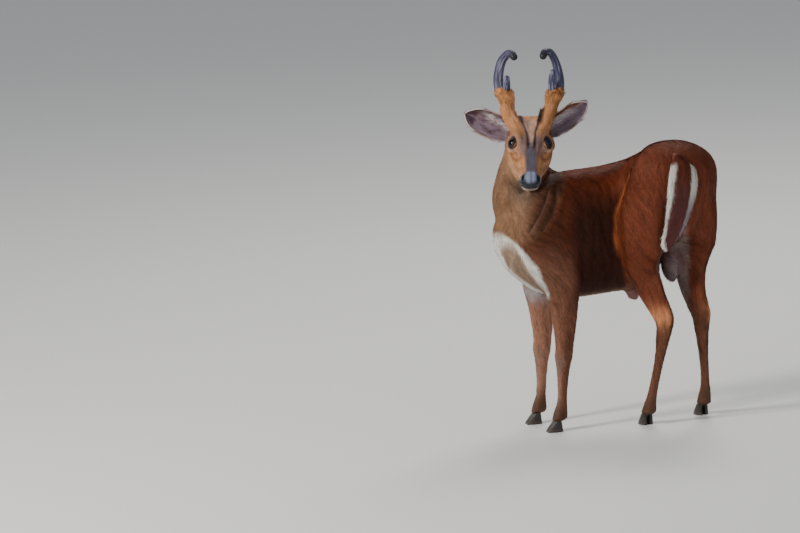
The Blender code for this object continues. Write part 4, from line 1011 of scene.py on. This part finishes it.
antler_finish = hair_finish("antler_finish", 0.18, 0.2, 0.42, 0.35)
for side, sign in (("left", 1.0), ("right", -1.0)):
    for label, rows, seed, dark in (
            ("antler_", BEAMS[side], 11, 0.8), ("brow_tine_", TINES[side], 23, 0.95)):
        beam = bony_beam(label + "bone_" + side, rows, sign, seed + int(sign), dark)
        beam.data.materials.append(antler_finish)
        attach(beam, "root")
        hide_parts(label + side)

# The hooves. Two curved cleaves of dark horn on each foot, with faint growth rings round the
# wall and a flat worn sole, each grown round its own toe bone.
# For each foot: station, heading and side, its step forwards and outwards, and how far out it stands.
FEET = {"fore_left": (0.283, CHEST_HEADING, -1.0, (0.0, 0.004), 0.054),
        "fore_right": (0.283, CHEST_HEADING, 1.0, (0.017, 0.0), 0.054),
        "hind_left": (0.0, RUMP_HEADING, -1.0, (0.0, 0.001), 0.063),
        "hind_right": (0.0, RUMP_HEADING, 1.0, (0.012, 0.021), 0.063)}
HOOF_LENGTH, HOOF_WIDTH, HOOF_HEIGHT, CLEFT, HEEL = 0.036, 0.0135, 0.024, 0.0016, 0.004
HOOF_RINGS, HOOF_LANES, GROWTH = 26, 44, 0.0032


def horn_hoof(name, foot, toe):
    """Rings of a wedge: each ring is narrowed towards the toe and drawn back as it rises.

    Growth rings ripple the wall, the sole is flat and the top is rounded in to the skin."""
    station, heading, sign, step, ankle = FEET[foot]
    rise = np.concatenate((np.linspace(0.0, 1.0, HOOF_RINGS), (1.03, 1.05)))[:, None]
    turn = np.linspace(0, 2 * math.pi, HOOF_LANES, endpoint=False)
    height = rise * HOOF_HEIGHT
    grow = np.interp(rise, (0, 0.33, 0.71, 1.0, 1.03, 1.05), (1.0, 0.97, 0.88, 0.8, 0.66, 0.3))
    ripple = 1 + 0.012 * np.sin(height * 2 * math.pi / GROWTH) * soft(rise, 0.05, 0.2)
    back = HEEL + 0.1 * height
    half = 0.5 * (HOOF_LENGTH * grow - 0.55 * height)
    fore = back + half + half * np.cos(turn) * ripple
    narrow = 1.0 - 0.45 * np.maximum(0.0, np.cos(turn)) ** 2
    lateral = 0.5 * HOOF_WIDTH * (1.0 + np.sin(turn) * narrow * grow * ripple * 0.985) + CLEFT / 2
    out = ankle + (1.0 if toe == "outer" else -1.0) * lateral
    ahead_way = np.array((-math.cos(heading), math.sin(heading)))
    out_way = np.array((math.sin(heading), math.cos(heading))) * sign
    plan = on_spine(station) + (fore + step[0])[..., None] * ahead_way + (out + step[1])[..., None] * out_way
    rings = np.concatenate((plan + SHIFT[:2], np.broadcast_to(height, fore.shape)[..., None]), axis=2)
    made = ringed(name, rings, (rings[0].mean(axis=0), rings[-1].mean(axis=0)))
    points, _ = mesh_points(made)
    band, dust = cloud(points * (0.2, 0.2, 1.0), 0.0016, 7), cloud(points, 0.006, 8)
    dusty = 0.35 * dust * soft(points[:, 2], 0.01, 0.0)
    store_colours(made, mix(linear(58, 52, 50) * (0.65 + 0.6 * band)[:, None], linear(120, 104, 88), dusty))
    return made


horn_finish = hair_finish("horn_finish", 0.15, 0.25, 0.38, 0.3)
for foot in FEET:
    for toe in ("inner", "outer"):
        horn = horn_hoof("_".join(("horn", foot, toe)), foot, toe)
        horn.data.materials.append(horn_finish)
        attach(horn, "root")
        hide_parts("_".join(("hoof", foot, toe)))

# The tail's core. A flat tapered stalk of bone and skin that hangs from the rump; the long hair
# that gives the tail its shape grows from it and comes with the coat below.
TAIL = ((0.174, -0.063, 0.6, 0.022, 0.012), (0.183, -0.093, 0.591, 0.037, 0.012),
        (0.182, -0.112, 0.56, 0.0405, 0.011), (0.175, -0.116, 0.515, 0.034, 0.01),
        (0.162, -0.112, 0.466, 0.0245, 0.008), (0.147, -0.105, 0.428, 0.0135, 0.006),
        (0.142, -0.102, 0.413, 0.004, 0.003))
TAIL_CORE, CORE_DEPTH, TAIL_LANES, TAIL_STEPS = 0.74, 0.7, 28, 10
TAIL_RIGHT = np.array((math.sin(RUMP_HEADING), math.cos(RUMP_HEADING), 0.0))
tail_rows = through(TAIL, TAIL_STEPS)
core_radii = np.stack((tail_rows[:, 3] * TAIL_CORE, tail_rows[:, 4] * CORE_DEPTH))
tail_core = tube_along("tail_core", tail_rows[:, :3] + SHIFT, core_radii, TAIL_LANES,
                       np.cross((0.0, 0.0, 1.0), TAIL_RIGHT))
store_colours(tail_core, np.tile(TONES["tail"] * UNDER_HAIR, (len(tail_core.data.vertices), 1)))
tail_core.data.materials.append(hide)
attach(tail_core, "root")
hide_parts("tail")

# The coat. Short stiff hair in thin tufts that overlap like thatch, rooted in the skin and
# lying down the body; a brush stands round each antler and long white hair fringes the tail.
HAIR_SEED = 20260
HAIR_AMOUNTS = {"coat_flank": 62000, "coat_rump": 62000, "coat_chest": 62000, "coat_legs": 60000,
                "coat_head": 64000}
chance = np.random.default_rng(HAIR_SEED)


def tufts(name, roots, normals, ways, lengths, widths, lifts, tones, places, tips=1.15):
    """Thin blades of three triangles: two root corners, two at half length and a tip.

    The middle is lifted off the skin and the tip bends back to the lie. Each blade keeps one
    small patch of the bake map at its root's place."""
    count = len(roots)
    tones = np.clip(tones, 0.001, 0.95)
    sides = unit(np.cross(normals, ways) + normals * chance.uniform(-0.55, 0.55, count)[:, None])
    long_way, high = lengths[:, None], (lengths * lifts)[:, None]
    across = sides * (np.broadcast_to(widths, count) * 0.5)[:, None]
    sway = sides * (chance.normal(0.0, 0.1, count) * lengths)[:, None]
    low = roots - normals * 0.0006
    middle = roots + ways * long_way * 0.48 + normals * high * 0.55 + sway * 0.4
    tip = roots + ways * long_way * 0.96 + normals * high + sway
    points = np.stack((low - across, low + across, middle - across * 0.8,
                       middle + across * 0.8, tip), axis=1)
    mesh = bpy.data.meshes.new(name)
    mesh.vertices.add(count * 5)
    mesh.vertices.foreach_set("co", points.ravel())
    base = (np.arange(count) * 5)[:, None]
    corners = np.concatenate((base + (1, 0, 2, 3), base + (3, 2, 4)), axis=1).ravel()
    mesh.loops.add(count * 7)
    mesh.loops.foreach_set("vertex_index", corners.astype(np.int32))
    mesh.polygons.add(count * 2)
    first = (np.arange(count) * 7)[:, None] + (0, 4)
    mesh.polygons.foreach_set("loop_start", first.ravel().astype(np.int32))
    mesh.polygons.foreach_set("use_smooth", np.ones(count * 2, bool))
    mesh.update()
    mesh.validate()
    patch = np.array(((-0.0015, -0.0015), (0.0015, -0.0015), (-0.0012, 0.0), (0.0012, 0.0), (0.0, 0.0015)))
    bake = (places[:, None] + patch[None]).reshape(-1, 2)
    mesh.uv_layers.new(name="OFBake").data.foreach_set("uv", bake[corners].ravel())
    mesh.normals_split_custom_set_from_vertices(np.repeat(unit(normals + ways * 0.25), 5, axis=0))
    made = linked(name, mesh)
    shade = np.array((0.8, 0.8, 0.98, 0.98, tips))
    store_colours(made, (tones[:, None] * shade[None, :, None]).reshape(-1, 3))
    made.data.materials.append(coat_finish)
    return made


def sown(item, amount, density):
    """Roots spread over a mesh by area times density: place, normal and bake-map place."""
    mesh = item.data
    mesh.calc_loop_triangles()
    corners = numbers(mesh.loop_triangles, "vertices", 3, np.int32)
    loops = numbers(mesh.loop_triangles, "loops", 3, np.int32)
    bake = numbers(mesh.uv_layers["OFBake"].data, "uv", 2, np.float32)
    places, normals = mesh_points(item)
    first, second, third = (places[corners[:, corner]] for corner in range(3))
    area = 0.5 * np.linalg.norm(np.cross(second - first, third - first), axis=1)
    weight = np.cumsum(area * density((first + second + third) / 3, normals[corners].mean(axis=1)))
    chosen = np.searchsorted(weight, chance.uniform(0, weight[-1], amount))
    share = chance.uniform(0, 1, (amount, 2))
    share = np.where(share.sum(axis=1)[:, None] > 1, 1 - share, share)
    parts = np.concatenate((1 - share.sum(axis=1)[:, None], share), axis=1)[:, :, None]
    roots, facing = ((values[corners[chosen]] * parts).sum(axis=1) for values in (places, normals))
    return roots, unit(facing), (bake[loops[chosen]] * parts).sum(axis=1)


def unwrapped(item):
    """Unfold a mesh into flat islands by its own shape, kept as the bake map."""
    item.data.uv_layers.new(name="OFBake")
    bpy.context.view_layer.objects.active = item
    item.select_set(True)
    bpy.ops.object.mode_set(mode="EDIT")
    bpy.ops.mesh.select_all(action="SELECT")
    bpy.ops.uv.smart_project(angle_limit=math.radians(66), island_margin=0.002)
    bpy.ops.object.mode_set(mode="OBJECT")
    item.select_set(False)


unwrapped(skin)
unwrapped(tail_core)


def region(points):
    """Shares of the five regions of the coat at each place: flank, rump, chest, legs and head."""
    station, height = spine_place(points)[0], points[:, 2]
    head = head_share(points, 0.0, 0.002) > 0.5
    legs = (height < 0.3) & ~head
    rump = (station < 0.085) & ~head & ~legs
    flank = (station < 0.27) & ~head & ~legs & ~rump & (height < 0.6)
    chest = ~head & ~legs & ~rump & ~flank
    return {"coat_flank": flank, "coat_rump": rump, "coat_chest": chest, "coat_legs": legs,
            "coat_head": head}


def haired(points):
    """1 where hair grows and 0 on the nose, the eyes and the soles."""
    bare = nose_mask(points)
    for sign in (1.0, -1.0):
        away, wide, tall = eye_place(points, sign)
        bare = np.maximum(bare, (np.hypot(wide, tall) < 1.22) & (np.linalg.norm(away, axis=1) < 0.024))
    return np.clip(1 - bare, 0, 1) * (points[:, 2] >= 0.024)


coat_finish = hair_finish("coat_finish", 0.1, 0.12, 0.58, 0.15, 0.11)
for name, amount in HAIR_AMOUNTS.items():
    roots, facing, places = sown(skin, amount, lambda points, normals: (
        region(points)[name] * haired(points) + 1e-12))
    ways = lie(roots, facing)
    astray = (cloud(roots, 0.02, 31) - 0.5) * 0.7 + chance.normal(0, 0.1, amount)
    ways = unit(ways + np.cross(facing, ways) * astray[:, None])
    clump = streaks(roots, ways, 0.0028, 41) * 0.6 + streaks(roots, ways, 0.006, 42) * 0.4
    tones = coat_colours(roots, facing) * (1 + (clump - 0.5) * 2.5 + chance.normal(0, 0.12, amount))[:, None]
    along, out, _, up, _ = face_place(roots)
    vary = chance.uniform(0.75, 1.2, amount)
    lifts = 0.1
    if name == "coat_head":
        crown_share = soft(up, 0.03, 0.06)
        spiky = pedicle_foot(np.stack((np.abs(out), up), axis=1))
        lengths = 0.0042 + 0.002 * soft(-along, -0.04, 0.03) + 0.0035 * crown_share
        lengths = lengths * vary * (1 + 0.6 * spiky)
        widths, lifts = 0.0008 + 0.0003 * crown_share, 0.1 + 0.06 * crown_share + 0.3 * spiky
        for sign in (1.0, -1.0):
            _, wide, tall = eye_place(roots, sign)
            lengths = lengths * (0.3 + 0.7 * soft(np.hypot(wide, tall), 1.3, 2.6))
    elif name == "coat_legs":
        high = soft(roots[:, 2], 0.06, 0.28)
        lengths, widths = (0.005 + 0.006 * high) * vary, 0.0008 + 0.0005 * high
    else:
        sleek = soft(-roots[:, 0], 0.1, 0.16) * soft(roots[:, 2], 0.4, 0.46)
        lengths, widths = (0.0115 - 0.0035 * sleek) * vary, 0.0011 - 0.0001 * sleek
    coat = tufts(name, roots, facing, ways, lengths, widths, lifts, tones, places)
    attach(coat, "root")

# The brush of long stiff hair that stands round the top of each pedicle and hides the foot of
# the antler, dark at the roots and bright at the tips.
BRUSH_AMOUNT, BRUSH_LONG, BRUSH_WIDE = 22000, (0.009, 0.021), 0.00065
roots, facing, places = sown(skin, BRUSH_AMOUNT, lambda points, normals: (
    soft(face_place(points)[3], 0.074, 0.084) * head_share(points, 0.0, 0.01) + 1e-12))
_, out, _, up, _ = face_place(roots)
ways = UP + 0.22 * np.sign(out)[:, None] * SIDE - 0.3 * FRONT
flare = 0.2 + 0.45 * soft(up, 0.08, 0.1) * cloud(roots, 0.006, 73)
ways = unit(ways + chance.normal(0, 0.13, (BRUSH_AMOUNT, 3)) + facing * flare[:, None])
lengths = chance.uniform(*BRUSH_LONG, BRUSH_AMOUNT) * (1 - 0.45 * soft(up, 0.09, 0.106))
clump = cloud(roots, 0.0032, 71) * 0.7 + cloud(roots, 0.008, 72) * 0.3
bright = soft(clump + chance.normal(0, 0.08, BRUSH_AMOUNT), 0.32, 0.72)
bright = np.maximum(bright, 0.5 - 0.5 * soft(up, 0.078, 0.092))
tones = mix(linear(118, 64, 34), linear(238, 172, 112), bright)
brush = tufts("coat_brush", roots, facing, ways, lengths, BRUSH_WIDE, 0.05, tones, places, 1.2)
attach(brush, "root")

# Hair of the ears: short and close on the back and along the rim, and long, thin and white
# inside, where it stands out from the folds near the root.
EAR_HAIR, EAR_HAIR_WIDE = 12000, 0.0006
for side in ("left", "right"):
    leaf = bpy.data.objects["ear_leaf_" + side]
    unwrapped(leaf)
    start, axis, opening, spread, length, half_width = ear_frame(side)

    def ear_density(points, normals):
        """Full on the back and the rim, thin inside and only on the lower half."""
        t, lane = (points - start) @ axis / length, np.abs((points - start) @ spread) / half_width
        inside = soft(normals @ opening, -0.1, 0.3)
        return (1 - inside) + inside * (0.22 * soft(t, 0.85, 0.45) + 1.2 * soft(lane, 0.82, 0.95)) + 1e-9

    roots, facing, places = sown(leaf, EAR_HAIR, ear_density)
    t, lane = (roots - start) @ axis / length, (roots - start) @ spread / half_width
    inside = soft(facing @ opening, -0.1, 0.3) * soft(np.abs(lane), 0.95, 0.8)
    ways = axis + (0.25 + 0.35 * inside[:, None]) * lane[:, None] * spread
    ways = laid_flat(ways + chance.normal(0, 0.12, (EAR_HAIR, 3)), facing)
    lengths = (0.0045 + 0.0095 * inside) * chance.uniform(0.7, 1.2, EAR_HAIR)
    lengths = lengths * (1 - 0.5 * soft(t, 0.75, 1.0))
    high = -lane if side == "left" else lane
    fold = high + 0.05 - 0.2 * t if side == "left" else high - 0.2 - 0.8 * t
    pale = soft(0.45 + 0.55 * cloud(roots, 0.004, 81) - 1.3 * np.abs(fold), 0.2, 0.65)
    inner = mix(inner_ear(side, t, high), linear(226, 216, 216), pale * soft(t, 0.7, 0.45))
    tones = mix(mix(linear(150, 98, 64), linear(112, 84, 76), soft(t, 0.2, 0.7)), inner, inside)
    tones = mix(tones, linear(206, 190, 180), soft(np.abs(lane), 0.86, 1.0))
    tones = tones * (1 + chance.normal(0, 0.12, EAR_HAIR))[:, None]
    hair = tufts("ear_hair_" + side, roots, facing, ways, lengths, EAR_HAIR_WIDE,
                 0.08 + 0.18 * inside, tones, places, 1.1)
    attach(hair, "root")

# Hair of the tail: dark red-brown over its back, and long loose white hair along both edges
# and below, which shows as a white stripe down each side.
TAIL_HAIR = {"tail_back": 15000, "tail_fringe": 14000}
TAIL_HAIR_LONG, TAIL_HAIR_WIDE = (0.016, 0.026), 0.0011
TAIL_OUT = np.array((math.cos(RUMP_HEADING), -math.sin(RUMP_HEADING), 0.0))


def tail_place(points):
    """Share along the tail and the offset across it, in half widths of the core."""
    line = tail_rows[:, :3] + SHIFT
    gaps = ((points[:, None, :] - line[None]) ** 2).sum(axis=2)
    near = gaps.argmin(axis=1)
    offset = ((points - line[near]) * TAIL_RIGHT).sum(axis=1)
    return near / (len(line) - 1), offset / (tail_rows[near, 3] * TAIL_CORE), near


def tail_tone(run, offset):
    """Red-brown over the back, white along both edges: the brown part narrows towards the tip, and further
    down one edge is greyed by painted shade.
    """
    left = np.interp(run, (0.0, 0.15, 0.35, 0.6, 0.8, 0.93, 1.0), (0.95, 0.62, 0.74, 0.93, 0.84, 0.2, -0.5))
    right = np.interp(run, (0.0, 0.15, 0.35, 0.6, 0.8, 1.0), (0.95, 0.52, 0.5, 0.66, 0.9, 1.05))
    edges = np.maximum(soft(-offset - left, -0.05, 0.05), soft(offset - right, -0.05, 0.05))
    brown = mix(TONES["rump"], TONES["tail"], soft(run, 0.15, 0.45))
    # painted shade: one edge's white greyed further down the tail
    grey = soft(offset, 0.0, 0.3) * soft(run, 0.3, 0.55)
    light = mix(TONES["white"] * 0.95, TONES["inner_fore"] * 0.75, grey)
    return mix(brown, light, edges * soft(run + 0.03 * offset, 0.13, 0.17))


def tail_density(points, normals):
    """How thick the hair stands on the tail's back, and how thick below and along its edges."""
    run, offset, _ = tail_place(points)
    outside = normals @ TAIL_OUT
    return {"tail_back": np.maximum(soft(outside, -0.2, 0.3), soft(run, 0.18, 0.1)),
            "tail_fringe": soft(outside, 0.5, -0.1) + 3.0 * soft(np.abs(offset), 0.8, 0.92)}


for name, amount in TAIL_HAIR.items():
    roots, facing, places = sown(tail_core, amount, lambda points, normals: (
        tail_density(points, normals)[name]))
    run, offset, near = tail_place(roots)
    after, before = np.minimum(near + 1, len(tail_rows) - 1), np.maximum(near - 1, 0)
    fall = unit(tail_rows[after, :3] - tail_rows[before, :3])
    lean, lifts = (0.1, 0.08) if name == "tail_back" else (0.24, 0.05)
    lean = lean * np.sign(offset) * soft(np.abs(offset), 0.3, 0.95) * (1 - 0.5 * soft(run, 0.5, 0.95))
    ways = unit(fall + TAIL_RIGHT * (lean + chance.normal(0, 0.05, amount))[:, None])
    lengths = chance.uniform(*TAIL_HAIR_LONG, amount) * (0.45 + 0.55 * soft(run, 0.04, 0.26)) * (
        1 - 0.35 * soft(run, 0.75, 1.0))
    tones = tail_tone(run, offset)
    shades = (streaks(roots, ways, 0.003, 51) - 0.5) * (1.4 - 1.1 * soft(tones[:, 2], 0.1, 0.4))
    tones = tones * (1 + shades + chance.normal(0, 0.05, amount))[:, None]
    hair = tufts(name, roots, facing, ways, lengths, TAIL_HAIR_WIDE, lifts, tones, places)
    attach(hair, "root")
